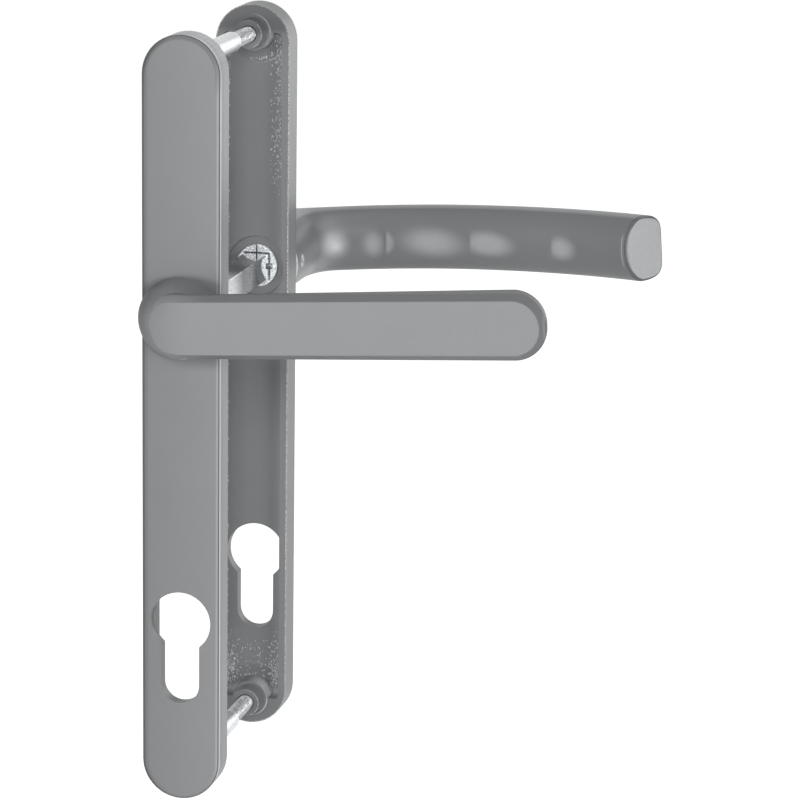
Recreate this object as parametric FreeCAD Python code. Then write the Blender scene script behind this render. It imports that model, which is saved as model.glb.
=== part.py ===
import FreeCAD, Part
import math
import os

# Lever door handle set for a narrow-stile door, in millimetres.
# X points along the levers, Z up, Y from the outer unit through the door to the inner unit.
# The origin is on the spindle axis, in the outer door face.
# Depths called t are measured from a door face into its plate,
# and heights called p are measured outwards from a plate's visible face.

# Plates
DOOR_GAP = 68.0
PLATE_WIDTH = 23.4
PLATE_TOP = 82.2
PLATE_BOTTOM = 146.6
PLATE_DEPTH = 10.0
PLATE_EDGE = 0.8
HOLLOW_DEPTH = 6.0
HOLLOW_WALL = 2.4
HOLLOW_TOP = 73.6
HOLLOW_BOTTOM = 138.2
HOLLOW_CORNER = 1.5

# Profile cylinder cut-out
CUT_BELOW_SPINDLE = 92.0
CUT_RADIUS = 9.2
CUT_TAIL_HALF = 5.8
CUT_HEIGHT = 34.0

# Fixings
FIXING_TOP = 73.5
FIXING_BOTTOM = 138.5
COLLAR_PROUD = 0.3
COLLAR_RADIUS = 5.55
COLLAR_RADIUS_FOOT = 5.85
BOSS_PROUD = 5.4
BOSS_RADIUS_FOOT = 4.7
BOSS_RADIUS_END = 4.4
SCREW_RADIUS = 2.45
SCREW_CLEARANCE = 2.7
SCREW_HEAD_RADIUS = 4.6
SCREW_HEAD_DEPTH = 2.4
SCREW_TIP = 28.0
SCREW_SOCKET = 3.0
SCREW_SOCKET_DEPTH = 1.8
SLEEVE_RADIUS = 3.1
SLEEVE_BORE = 2.5
SLEEVE_END = 44.2
SLEEVE_BORE_DEPTH = 20.0
SLEEVE_SEAT = 7.4
SLEEVE_CHAMFER = 0.3
SCREW_CHAMFER = 0.5

# Bearing of each lever, as depths t from the door face
HUB_RADIUS = 6.75
HUB_END = 5.9
HUB_IN_OUTER_NECK = 8.0
HUB_IN_INNER_NECK = 14.0
HUB_CHAMFER = 0.3
HUB_SQUARE = 8.16
HUB_SLIT = 0.4
HUB_NOTCH_WIDTH = 1.0
HUB_NOTCH_HEIGHT = 1.9
HUB_SLOT_DEPTH = 4.0
RECESS_RADIUS = 10.0
COUNTERBORE_RADIUS = 9.4
COUNTERBORE_FLOOR = 7.9
BUSH_BORE = 6.82
BUSH_RADIUS = 8.2
BUSH_FLANGE_RADIUS = 9.3
BUSH_FLANGE = 0.6
CLIP_GROOVE_START = 6.43
CLIP_GROOVE_WIDTH = 0.64
CLIP_GROOVE_RADIUS = 6.15
CLIP_THICKNESS = 0.6
CLIP_RADIUS = 9.25
CLIP_OPENING = 6.0
CLIP_TURN = 35.0
WASHER_START = 7.08
WASHER_THICKNESS = 0.2
WASHER_BORE = 6.85
WASHER_RADIUS = 9.2
BEARING_RING_RADIUS = 12.1
BEARING_RING_BORE = 7.1
BEARING_RING_HEIGHT = 0.8
BEARING_RING_CHAMFER = 0.2
OUTER_RING_SAG = (-0.2, -0.25)
NECK_CLEARANCE = 0.05
NECK_FOOT = BEARING_RING_HEIGHT + NECK_CLEARANCE

# Spindle with its pin, and the grub screw of the inner lever
SPINDLE_SQUARE = 8.0
SPINDLE_IN_OUTER_NECK = 7.5
SPINDLE_IN_INNER_NECK = 13.0
SPINDLE_CHAMFER = 0.5
SPINDLE_EDGE = 0.35
PIN_RADIUS = 1.25
PIN_LENGTH = 13.2
PIN_HEIGHT = 5.0
GRUB_RADIUS = 2.0
GRUB_HEIGHT = 8.5
GRUB_TIP_GAP = 0.02
GRUB_LENGTH = 7.3
GRUB_SOCKET = 2.0
GRUB_SOCKET_DEPTH = 2.2

# Both levers stand a little above level
LEVER_TILT = 4.0

# Outer lever: flat and low; the neck circles are (p, X, radius)
FLAT_NECK_CIRCLES = ((NECK_FOOT, 0.0, 12.0), (3.5, 0.0, 11.7), (7.0, 0.8, 10.75), (10.0, 2.5, 9.2))
FLAT_HEAD_X = 2.5
FLAT_HEAD_P = 7.0
FLAT_HEAD_RADIUS = 9.2
FLAT_END_X = 102.8
FLAT_END_RADIUS = 9.55
FLAT_END_DRAFT = 0.2
FLAT_END_DRAFT_P = 19.5
FLAT_BACK_P = 10.8
FLAT_BACK_ROUND = 3.2
FACET_START_X = 9.0
FACET_START_P = 18.0
FACET_END_X = 120.0
FACET_END_P = 23.2
FACET_FALL_RADIUS = 26.0
FACET_FALL_TURN = 50.0
FACET_BEVEL_IN = 1.65
FACET_BEVEL_DOWN = 2.6
FLAT_BLANK_OVER = 3.0
FLAT_BLANK_P = FACET_END_P + FLAT_BLANK_OVER

# Inner lever: arched away from the door
ARCH_NECK_RADIUS = 11.6
ARCH_APEX_X = 32.0
ARCH_APEX_P = 44.5
ARCH_RADIUS_NEAR = 120.0
ARCH_RADIUS_FAR = 180.0
ARCH_NEAR_TURN = 13.0
ARCH_START_TURN = 9.5
ARCH_HALF_HEIGHT = 10.25
ARCH_FACET_HALF = 4.5
ARCH_FRONT_DEPTH = 7.65
ARCH_HALF_DEPTH = 6.7
ARCH_CORNER_UP = 8.6
ARCH_SHOULDER = 5.6
ARCH_OVERRUN = 8.0
ARCH_CUT_X = 118.6
ARCH_CUT_P = 15.5
ARCH_CUT_ANGLE = 43.0
ARCH_CUT_ROUND = 1.3

# Finger hollows of the inner lever, as (X, radius)
FINGER_HOLLOWS = ((27.0, 22.0), (46.0, 40.0), (66.0, 45.0), (91.0, 60.0))
HOLLOW_PRESS = 0.8
HOLLOW_REACH = 14.0
HOLLOW_CROWN = 5.0

# Sections of the inner lever's skin
NECK_CORNER_TURN = 34.0
NECK_STEPS = 5
BEND_STEPS = 8
ARCH_STEPS = 10
QUARTER_HANDLE = 0.5523

# Corners of a square, gone round once
SQUARE_TURN = ((-1, -1), (1, -1), (1, 1), (-1, 1), (-1, -1))

# Overlap of a cutting body, and the size of one that takes in everything near it
MARGIN = 1.0
REACH = 60.0

# How near an edge lies to where it is looked for, and how far a straight one may wander in height
PLAY = 0.1
STRAIGHT = 0.5


def vec(x, y, z):
    return FreeCAD.Vector(x, y, z)


def cylinder(radius, y0, y1, x=0.0, z=0.0):
    """Round bar along Y from y0 to y1."""
    low = min(y0, y1)
    return Part.makeCylinder(radius, abs(y1 - y0), vec(x, low, z), vec(0, 1, 0))


def cone(radius0, y0, radius1, y1, x=0.0, z=0.0):
    """Tapered round bar along +Y, radius0 at y0 and radius1 at y1, with y1 above y0."""
    return Part.makeCone(radius0, radius1, y1 - y0, vec(x, y0, z), vec(0, 1, 0))


def box(x0, x1, y0, y1, z0, z1):
    return Part.makeBox(x1 - x0, y1 - y0, z1 - z0, vec(x0, y0, z0))


def capsule_face(y, x0, z0, radius0, x1, z1, radius1):
    """Flat outline that joins two circles by their common tangents."""
    a = vec(x0, y, z0)
    b = vec(x1, y, z1)
    along = b - a
    lean = math.asin((radius0 - radius1) / along.Length)
    along.normalize()
    across = vec(-along.z, 0, along.x)
    left = across * math.cos(lean) + along * math.sin(lean)
    right = along * math.sin(lean) - across * math.cos(lean)
    edges = [
        Part.LineSegment(a + left * radius0, b + left * radius1).toShape(),
        Part.Arc(b + left * radius1, b + along * radius1, b + right * radius1).toShape(),
        Part.LineSegment(b + right * radius1, a + right * radius0).toShape(),
        Part.Arc(a + right * radius0, a - along * radius0, a + left * radius0).toShape(),
    ]
    return Part.Face(Part.Wire(edges))


def capsule(radius, y0, y1, x0, z0, x1, z1):
    """Prism along Y whose outline joins two half circles of one radius."""
    return capsule_face(y0, x0, z0, radius, x1, z1, radius).extrude(vec(0, y1 - y0, 0))


def hexagon(across, start, direction, depth):
    """Hexagonal bar of a given width across flats."""
    radius = across / (2.0 * math.cos(math.pi / 6.0))
    z_axis = direction
    x_axis = vec(0, 0, 1)
    y_axis = z_axis.cross(x_axis)
    points = []
    for i in range(7):
        turn = math.radians(60.0 * i)
        points.append(start + x_axis * (radius * math.cos(turn)) + y_axis * (radius * math.sin(turn)))
    return Part.Face(Part.makePolygon(points)).extrude(direction * depth)


def edges_in_plane_y(shape, y):
    """Edges that lie in the plane at one Y."""
    found = []
    for edge in shape.Edges:
        bound = edge.BoundBox
        if abs(bound.YMin - y) < 0.01 and abs(bound.YMax - y) < 0.01:
            found.append(edge)
    return found


def to_outer(shape):
    """From the t frame (door face at 0, plate towards +Y) to the outer unit."""
    return shape.mirror(vec(0, 0, 0), vec(0, 1, 0))


def to_inner(shape):
    """From the t frame to the inner unit, across the door gap."""
    placed = shape.copy()
    placed.translate(vec(0, DOOR_GAP, 0))
    return placed


def tilted(shape):
    """Lift a lever's free end about the spindle axis."""
    turned = shape.copy()
    turned.rotate(vec(0, 0, 0), vec(0, 1, 0), -LEVER_TILT)
    return turned


def plate_blank():
    radius = PLATE_WIDTH / 2.0
    body = capsule(radius, 0.0, PLATE_DEPTH, 0.0, -PLATE_BOTTOM + radius, 0.0, PLATE_TOP - radius)
    return body.makeFillet(PLATE_EDGE, edges_in_plane_y(body, PLATE_DEPTH))


def plate_hollow():
    """Space on the door side, between the rims."""
    half = PLATE_WIDTH / 2.0 - HOLLOW_WALL
    space = box(-half, half, 0.0, HOLLOW_DEPTH, -HOLLOW_BOTTOM, HOLLOW_TOP)
    corners = []
    for edge in space.Edges:
        bound = edge.BoundBox
        if bound.YMax - bound.YMin > HOLLOW_DEPTH - PLAY:
            corners.append(edge)
    return space.makeFillet(HOLLOW_CORNER, corners)


def cylinder_cutout():
    tail_z = -CUT_BELOW_SPINDLE + CUT_RADIUS - CUT_HEIGHT + CUT_TAIL_HALF
    low = -MARGIN
    high = PLATE_DEPTH + MARGIN
    eye = cylinder(CUT_RADIUS, low, high, 0.0, -CUT_BELOW_SPINDLE)
    tail = capsule(CUT_TAIL_HALF, low, high, 0.0, tail_z, 0.0, -CUT_BELOW_SPINDLE)
    return eye.fuse(tail)


def boss(z):
    """Boss round a fixing: a collar up to the rim and a slimmer end that enters the door."""
    proud = cone(BOSS_RADIUS_END, -BOSS_PROUD, BOSS_RADIUS_FOOT, 0.0, 0.0, z)
    collar = cone(COLLAR_RADIUS, -COLLAR_PROUD, COLLAR_RADIUS_FOOT, HOLLOW_DEPTH + MARGIN, 0.0, z)
    return proud.fuse(collar)


def plate(fixing_hole):
    body = plate_blank().cut(plate_hollow()).cut(cylinder_cutout())
    body = body.cut(cylinder(RECESS_RADIUS, -MARGIN, HOLLOW_DEPTH))
    body = body.cut(cylinder(COUNTERBORE_RADIUS, HOLLOW_DEPTH, COUNTERBORE_FLOOR))
    body = body.cut(cylinder(BUSH_RADIUS, HOLLOW_DEPTH, PLATE_DEPTH + MARGIN))
    for z in (FIXING_TOP, -FIXING_BOTTOM):
        body = body.fuse(boss(z))
    for z in (FIXING_TOP, -FIXING_BOTTOM):
        body = body.cut(fixing_hole(z))
    return body.removeSplitter()


def sleeve_seat(z):
    """Blind seat for a sleeve, from the boss end down into the outer plate."""
    return cylinder(SLEEVE_RADIUS, -BOSS_PROUD - MARGIN, SLEEVE_SEAT, 0.0, z)


def screw_hole(z):
    """Through hole with a countersink in the inner plate's visible face."""
    through = cylinder(SCREW_CLEARANCE, -BOSS_PROUD - MARGIN, PLATE_DEPTH + MARGIN, 0.0, z)
    sink_start = PLATE_DEPTH - SCREW_HEAD_DEPTH
    sink = cone(SCREW_RADIUS, sink_start, SCREW_HEAD_RADIUS, PLATE_DEPTH, 0.0, z)
    return through.fuse(sink)


def sleeve(z):
    body = cylinder(SLEEVE_RADIUS, -SLEEVE_SEAT, SLEEVE_END, 0.0, z)
    body = body.makeChamfer(SLEEVE_CHAMFER, edges_in_plane_y(body, SLEEVE_END))
    bore_start = SLEEVE_END - SLEEVE_BORE_DEPTH
    return body.cut(cylinder(SLEEVE_BORE, bore_start, SLEEVE_END + MARGIN, 0.0, z))


def screw(z):
    face_y = DOOR_GAP + PLATE_DEPTH
    head = cone(SCREW_RADIUS, face_y - SCREW_HEAD_DEPTH, SCREW_HEAD_RADIUS, face_y, 0.0, z)
    shank = cylinder(SCREW_RADIUS, SCREW_TIP, face_y - SCREW_HEAD_DEPTH, 0.0, z)
    shank = shank.makeChamfer(SCREW_CHAMFER, edges_in_plane_y(shank, SCREW_TIP))
    socket_floor = vec(0, face_y - SCREW_SOCKET_DEPTH, z)
    socket = hexagon(SCREW_SOCKET, socket_floor, vec(0, 1, 0), SCREW_SOCKET_DEPTH + MARGIN)
    return head.fuse(shank).cut(socket).removeSplitter()


def bush():
    flange_start = COUNTERBORE_FLOOR - BUSH_FLANGE
    flange = cylinder(BUSH_FLANGE_RADIUS, flange_start, COUNTERBORE_FLOOR)
    tube = cylinder(BUSH_RADIUS, flange_start, PLATE_DEPTH)
    bore = cylinder(BUSH_BORE, flange_start - MARGIN, PLATE_DEPTH + MARGIN)
    return flange.fuse(tube).cut(bore).removeSplitter()


def bearing_ring():
    low = PLATE_DEPTH
    high = PLATE_DEPTH + BEARING_RING_HEIGHT
    disc = cylinder(BEARING_RING_RADIUS, low, high)
    disc = disc.makeChamfer(BEARING_RING_CHAMFER, edges_in_plane_y(disc, high))
    return disc.cut(cylinder(BEARING_RING_BORE, low - MARGIN, high + MARGIN))


def outer_bearing_ring():
    """The outer ring hangs a little low on its hub."""
    ring = to_outer(bearing_ring())
    ring.translate(vec(OUTER_RING_SAG[0], 0, OUTER_RING_SAG[1]))
    return ring


def retaining_ring():
    """Open spring ring in the hub's groove."""
    start = CLIP_GROOVE_START + (CLIP_GROOVE_WIDTH - CLIP_THICKNESS) / 2.0
    end = start + CLIP_THICKNESS
    ring = cylinder(CLIP_RADIUS, start, end)
    ring = ring.cut(cylinder(CLIP_GROOVE_RADIUS, start - MARGIN, end + MARGIN))
    half = CLIP_OPENING / 2.0
    gap = box(-REACH, 0.0, start - MARGIN, end + MARGIN, -half, half)
    gap.rotate(vec(0, 0, 0), vec(0, 1, 0), -CLIP_TURN)
    return ring.cut(gap)


def wave_washer():
    """Spring washer, drawn pressed flat between ring and bush."""
    end = WASHER_START + WASHER_THICKNESS
    disc = cylinder(WASHER_RADIUS, WASHER_START, end)
    return disc.cut(cylinder(WASHER_BORE, WASHER_START - MARGIN, end + MARGIN))


def square_mouth():
    """Flared mouth of the hub's square hole."""
    half = HUB_SQUARE / 2.0
    wide = half + HUB_CHAMFER
    mouth = Part.makePolygon([vec(a * wide, HUB_END, b * wide) for a, b in SQUARE_TURN])
    throat = Part.makePolygon([vec(a * half, HUB_END + HUB_CHAMFER, b * half) for a, b in SQUARE_TURN])
    return Part.makeLoft([mouth, throat], True, True)


def hub(in_neck):
    """Steel insert of a lever: it takes the spindle and turns in the bush."""
    end = PLATE_DEPTH + in_neck
    body = cylinder(HUB_RADIUS, HUB_END, end)
    body = body.makeChamfer(HUB_CHAMFER, edges_in_plane_y(body, HUB_END)).cut(square_mouth())
    groove_end = CLIP_GROOVE_START + CLIP_GROOVE_WIDTH
    groove = cylinder(HUB_RADIUS + MARGIN, CLIP_GROOVE_START, groove_end)
    body = body.cut(groove.cut(cylinder(CLIP_GROOVE_RADIUS, CLIP_GROOVE_START, groove_end)))
    half = HUB_SQUARE / 2.0
    body = body.cut(box(-half, half, HUB_END - MARGIN, end + MARGIN, -half, half))
    slot_end = HUB_END + HUB_SLOT_DEPTH
    start = HUB_END - MARGIN
    inside = half - MARGIN
    slit_half = HUB_SLIT / 2.0
    slit = box(-slit_half, slit_half, start, slot_end, inside, HUB_RADIUS + MARGIN)
    notch_half = HUB_NOTCH_HEIGHT / 2.0
    notch = box(inside, half + HUB_NOTCH_WIDTH, start, slot_end, -notch_half, notch_half)
    return body.cut(slit).cut(notch)


def cross_hole(radius, length, y):
    """Round bar along X, centred on the spindle axis."""
    return Part.makeCylinder(radius, length, vec(-length / 2.0, y, 0), vec(1, 0, 0))


def pin_y():
    return -PLATE_DEPTH - PIN_HEIGHT


def spindle():
    half = SPINDLE_SQUARE / 2.0
    start = -PLATE_DEPTH - SPINDLE_IN_OUTER_NECK
    end = DOOR_GAP + PLATE_DEPTH + SPINDLE_IN_INNER_NECK
    bar = box(-half, half, start, end, -half, half)
    long_edges = [edge for edge in bar.Edges if edge.Length > REACH]
    bar = bar.makeChamfer(SPINDLE_EDGE, long_edges)
    bar = bar.makeChamfer(SPINDLE_CHAMFER, edges_in_plane_y(bar, start) + edges_in_plane_y(bar, end))
    return bar.cut(cross_hole(PIN_RADIUS, 2.0 * SPINDLE_SQUARE, pin_y()))


def outer_hub():
    return to_outer(hub(HUB_IN_OUTER_NECK)).cut(cross_hole(PIN_RADIUS, 4.0 * HUB_RADIUS, pin_y()))


def spindle_pin():
    return cross_hole(PIN_RADIUS, PIN_LENGTH, pin_y())


def grub_bar(start, length):
    y = DOOR_GAP + PLATE_DEPTH + GRUB_HEIGHT
    return Part.makeCylinder(GRUB_RADIUS, length, vec(start, y, 0), vec(1, 0, 0))


def inner_hub():
    return to_inner(hub(HUB_IN_INNER_NECK)).cut(grub_bar(0.0, REACH))


def grub_screw():
    start = SPINDLE_SQUARE / 2.0 + GRUB_TIP_GAP
    end = vec(start + GRUB_LENGTH, DOOR_GAP + PLATE_DEPTH + GRUB_HEIGHT, 0)
    socket = hexagon(GRUB_SOCKET, end, vec(-1, 0, 0), GRUB_SOCKET_DEPTH)
    return grub_bar(start, GRUB_LENGTH).cut(socket)


def round_wire(radius, x, y):
    return Part.Wire(Part.makeCircle(radius, vec(x, y, 0), vec(0, 1, 0)))


def facet_slope():
    return (FACET_END_P - FACET_START_P) / (FACET_END_X - FACET_START_X)


def under_facet():
    """Everything below the outer lever's facet: a straight run that falls in an arc at the neck."""
    slope = math.atan(facet_slope())
    start = vec(FACET_START_X, FACET_START_P, 0)
    centre = start + vec(math.sin(slope), -math.cos(slope), 0) * FACET_FALL_RADIUS

    def on_arc(turn):
        angle = math.pi / 2.0 + slope + math.radians(turn)
        return centre + vec(math.cos(angle), math.sin(angle), 0) * FACET_FALL_RADIUS

    foot = on_arc(FACET_FALL_TURN)
    fall = Part.Arc(foot, on_arc(FACET_FALL_TURN / 2.0), start).toShape()
    run = Part.LineSegment(start, vec(FACET_END_X, FACET_END_P, 0)).toShape()
    low = -MARGIN
    corner0 = vec(FACET_END_X, low, 0)
    corner1 = vec(foot.x, low, 0)
    edges = [
        fall,
        run,
        Part.LineSegment(vec(FACET_END_X, FACET_END_P, 0), corner0).toShape(),
        Part.LineSegment(corner0, corner1).toShape(),
        Part.LineSegment(corner1, foot).toShape(),
    ]
    face = Part.Face(Part.Wire(edges))
    face.translate(vec(0, 0, -REACH / 2.0))
    return face.extrude(vec(0, 0, REACH))


def facet_loop_edge(body):
    """The straight upper edge of the facet, which leads round the whole facet."""
    best = None
    for edge in body.Edges:
        bound = edge.BoundBox
        straight = bound.ZMax - bound.ZMin < STRAIGHT and bound.ZMin > FLAT_HEAD_RADIUS - PLAY
        if straight and bound.XLength > REACH and bound.YMax > FACET_START_P:
            best = edge
    return best


def flat_grip():
    """Grip of the outer lever with a rounded back, its free end drawn in towards the back."""
    height = FLAT_BLANK_P - FLAT_BACK_P
    ends = (FLAT_HEAD_X, 0.0, FLAT_HEAD_RADIUS, FLAT_END_X, 0.0, FLAT_END_RADIUS)
    grip = capsule_face(FLAT_BACK_P, *ends).extrude(vec(0, height, 0))
    shift = FLAT_END_DRAFT * (FLAT_END_DRAFT_P - FLAT_BACK_P)
    ends = (-REACH, 0.0, FLAT_END_RADIUS, FLAT_END_X - shift, 0.0, FLAT_END_RADIUS)
    slope = vec(FLAT_END_DRAFT, 1.0, 0) * height
    grip = grip.common(capsule_face(FLAT_BACK_P, *ends).extrude(slope))
    return grip.makeFillet(FLAT_BACK_ROUND, edges_in_plane_y(grip, FLAT_BACK_P))


def flat_lever():
    """Outer lever in its own frame: p along +Y from the plate's visible face, not yet tilted."""
    head = cylinder(FLAT_HEAD_RADIUS, FLAT_HEAD_P, FLAT_BLANK_P, FLAT_HEAD_X)
    body = flat_grip().fuse(head).removeSplitter().common(under_facet())
    body = body.makeChamfer(FACET_BEVEL_DOWN, FACET_BEVEL_IN, [facet_loop_edge(body)])
    wires = [round_wire(radius, x, p) for p, x, radius in FLAT_NECK_CIRCLES]
    body = body.fuse(Part.makeLoft(wires, True, False))
    return body.cut(cylinder(HUB_RADIUS, 0.0, HUB_IN_OUTER_NECK))


def outer_lever():
    body = flat_lever()
    body.translate(vec(0, PLATE_DEPTH, 0))
    return tilted(to_outer(body))


def arch_turn_far():
    """Path direction below level, in radians, where the far arc passes the cut."""
    start = math.radians(ARCH_NEAR_TURN)
    near_x = ARCH_APEX_X + ARCH_RADIUS_NEAR * math.sin(start)
    return math.asin(math.sin(start) + (ARCH_CUT_X + ARCH_OVERRUN - near_x) / ARCH_RADIUS_FAR)


def arch_point(turn):
    """Point of the arched path where its direction is so far below level, in radians."""
    near = math.radians(ARCH_NEAR_TURN)
    first = min(turn, near)
    x = ARCH_APEX_X + ARCH_RADIUS_NEAR * math.sin(first)
    p = ARCH_APEX_P - ARCH_RADIUS_NEAR * (1.0 - math.cos(first))
    if turn > near:
        x += ARCH_RADIUS_FAR * (math.sin(turn) - math.sin(near))
        p -= ARCH_RADIUS_FAR * (math.cos(near) - math.cos(turn))
    return x, p


def bend_radius():
    """Radius of the bend that leads from the spindle axis into the arch."""
    start = math.radians(ARCH_START_TURN)
    return arch_point(-start)[0] / (1.0 - math.sin(start))


def bend_point(turn):
    """Point of the bend from the neck into the arch, for a direction above level in radians."""
    start = math.radians(ARCH_START_TURN)
    end_x, end_p = arch_point(-start)
    x = end_x + bend_radius() * (math.sin(start) - math.sin(turn))
    p = end_p - bend_radius() * (math.cos(start) - math.cos(turn))
    return x, p


def arc_handles(radius, angle0, angle1):
    """Four poles (outward, height) of a curve close to an arc of a circle."""
    handle = 4.0 / 3.0 * math.tan((angle1 - angle0) / 4.0) * radius
    c0, s0 = math.cos(angle0), math.sin(angle0)
    c1, s1 = math.cos(angle1), math.sin(angle1)
    return [
        (radius * c0, radius * s0),
        (radius * c0 - handle * s0, radius * s0 + handle * c0),
        (radius * c1 + handle * s1, radius * s1 - handle * c1),
        (radius * c1, radius * s1),
    ]


def round_section(radius):
    """Poles of the neck's round section, split where the grip's edges will run."""
    corner = math.radians(NECK_CORNER_TURN)
    turns = [-corner, corner, math.pi / 2.0, math.pi, 1.5 * math.pi, 2.0 * math.pi - corner]
    return [arc_handles(radius, a, b) for a, b in zip(turns[:-1], turns[1:])]


def grip_section():
    """Poles of the D-shaped grip: flat facet outside, round towards the door."""
    facet = ARCH_FACET_HALF
    tall = ARCH_HALF_HEIGHT
    deep = ARCH_HALF_DEPTH
    front = ARCH_FRONT_DEPTH
    upper = [(front, facet), (front, ARCH_CORNER_UP), (ARCH_SHOULDER, tall), (0.0, tall)]
    back = [(0.0, tall), (-QUARTER_HANDLE * deep, tall), (-deep, QUARTER_HANDLE * tall), (-deep, 0.0)]
    return [
        [(front, -facet), (front, -facet / 3.0), (front, facet / 3.0), (front, facet)],
        upper,
        back,
        [(a, -b) for a, b in reversed(back)],
        [(a, -b) for a, b in reversed(upper)],
    ]


def blend_sections(first, second, share):
    """Section part of the way from one to the other."""
    blended = []
    for a, b in zip(first, second):
        pairs = zip(a, b)
        blended.append([(p[0] + (q[0] - p[0]) * share, p[1] + (q[1] - p[1]) * share) for p, q in pairs])
    return blended


def placed_section(section, x, p, turn):
    """Poles in space of a section across the path; turn is the direction below level in radians."""
    outward = vec(math.sin(turn), math.cos(turn), 0)
    centre = vec(x, p, 0)
    return [[centre + outward * a + vec(0, 0, b) for a, b in poles] for poles in section]


def arched_stations():
    """Sections along the neck, the bend and the arch, each with its place along the path."""
    neck = round_section(ARCH_NECK_RADIUS)
    grip = grip_section()
    start = math.radians(ARCH_START_TURN)
    upright = math.pi / 2.0
    bend_x, bend_p = bend_point(upright)
    stations = []
    for i in range(NECK_STEPS):
        p = NECK_FOOT + (bend_p - NECK_FOOT) * i / NECK_STEPS
        stations.append((p - NECK_FOOT, placed_section(neck, bend_x, p, -upright)))
    travel = bend_p - NECK_FOOT
    for i in range(BEND_STEPS + 1):
        share = i / BEND_STEPS
        turn = upright + (start - upright) * share
        x, p = bend_point(turn)
        ease = share * share * (3.0 - 2.0 * share)
        section = placed_section(blend_sections(neck, grip, ease), x, p, -turn)
        stations.append((travel + bend_radius() * (upright - turn), section))
    travel += bend_radius() * (upright - start)
    near = math.radians(ARCH_NEAR_TURN)
    last = arch_turn_far()
    for i in range(1, ARCH_STEPS + 1):
        turn = -start + (last + start) * i / ARCH_STEPS
        x, p = arch_point(turn)
        along = ARCH_RADIUS_NEAR * (min(turn, near) + start) + ARCH_RADIUS_FAR * max(turn - near, 0.0)
        stations.append((travel + along, placed_section(grip, x, p, turn)))
    return stations


def skin_strip(stations, strip):
    """Smooth face through one strip of every section."""
    places = [place for place, _ in stations]
    rows = []
    for pole in range(4):
        curve = Part.BSplineCurve()
        curve.interpolate(Points=[section[strip][pole] for _, section in stations], Parameters=places)
        rows.append(curve)
    surface = Part.BSplineSurface()
    poles = [row.getPoles() for row in rows]
    across = [4, 4]
    along = rows[0].getMultiplicities()
    knots = rows[0].getKnots()
    surface.buildFromPolesMultsKnots(poles, across, along, [0.0, 1.0], knots, False, False, 3, 3)
    return surface.toShape()


def end_cap(section):
    edges = []
    for poles in section:
        curve = Part.BezierCurve()
        curve.setPoles(poles)
        edges.append(curve.toShape())
    return Part.Face(Part.Wire(edges))


def arched_blank():
    stations = arched_stations()
    faces = [skin_strip(stations, strip) for strip in range(5)]
    faces.append(end_cap(stations[0][1]))
    faces.append(end_cap(stations[-1][1]))
    shell = Part.makeShell(faces)
    shell.sewShape()
    solid = Part.makeSolid(shell)
    if solid.Volume < 0.0:
        solid.reverse()
    return solid


def cut_slab():
    """Everything past the slanting cut at the free end of the arched lever."""
    slab = box(0.0, REACH, -REACH, REACH, -REACH, REACH)
    slab.rotate(vec(0, 0, 0), vec(0, 0, 1), -ARCH_CUT_ANGLE)
    slab.translate(vec(ARCH_CUT_X, ARCH_CUT_P, 0))
    return slab


def arch_turn_at(x):
    """Path direction below level, in radians, above a point x of the grip."""
    low, high = -math.radians(ARCH_START_TURN), arch_turn_far()
    for _ in range(40):
        middle = (low + high) / 2.0
        if arch_point(middle)[0] < x:
            low = middle
        else:
            high = middle
    return (low + high) / 2.0


def finger_cutters():
    """Crowns of wide round bars that press the finger hollows into the door side."""
    cutters = []
    for x, radius in FINGER_HOLLOWS:
        turn = arch_turn_at(x)
        level = -ARCH_HALF_DEPTH + HOLLOW_PRESS
        bar = Part.makeCylinder(radius, REACH, vec(0, level - radius, -REACH / 2.0), vec(0, 0, 1))
        bottom = level - HOLLOW_CROWN
        crown = box(-HOLLOW_REACH, HOLLOW_REACH, bottom, level + MARGIN, -REACH / 2.0, REACH / 2.0)
        cutter = bar.common(crown)
        cutter.rotate(vec(0, 0, 0), vec(0, 0, 1), -math.degrees(turn))
        path_x, path_p = arch_point(turn)
        cutter.translate(vec(path_x, path_p, 0))
        cutters.append(cutter)
    return cutters


def arched_lever():
    """Inner lever in its own frame: p along +Y from the plate's visible face, not yet tilted."""
    body = arched_blank().cut(cut_slab())
    rim = []
    turn = math.radians(ARCH_CUT_ANGLE)
    normal = vec(math.cos(turn), -math.sin(turn), 0)
    for face in body.Faces:
        centre = face.CenterOfMass
        offset = (centre - vec(ARCH_CUT_X, ARCH_CUT_P, 0)).dot(normal)
        if abs(offset) < 0.01 and abs(face.normalAt(0, 0).dot(normal)) > 0.999:
            rim = face.Edges
    body = body.makeFillet(ARCH_CUT_ROUND, rim)
    return body.cut(cylinder(HUB_RADIUS, 0.0, HUB_IN_INNER_NECK))


def inner_lever():
    body = arched_lever()
    body.translate(vec(0, DOOR_GAP + PLATE_DEPTH, 0))
    body = tilted(body)
    for cutter in finger_cutters():
        cutter.translate(vec(0, DOOR_GAP + PLATE_DEPTH, 0))
        body = body.cut(tilted(cutter))
    return body.cut(grub_bar(0.0, REACH))


def save(shape, name):
    if shape.ShapeType == "Compound" and len(shape.Solids) == 1:
        shape = shape.Solids[0]
    assert shape.isValid(), name
    assert len(shape.Solids) == 1, name
    shape.exportStep("parts/" + name + ".step")
    print(name, round(shape.Volume, 1))


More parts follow.
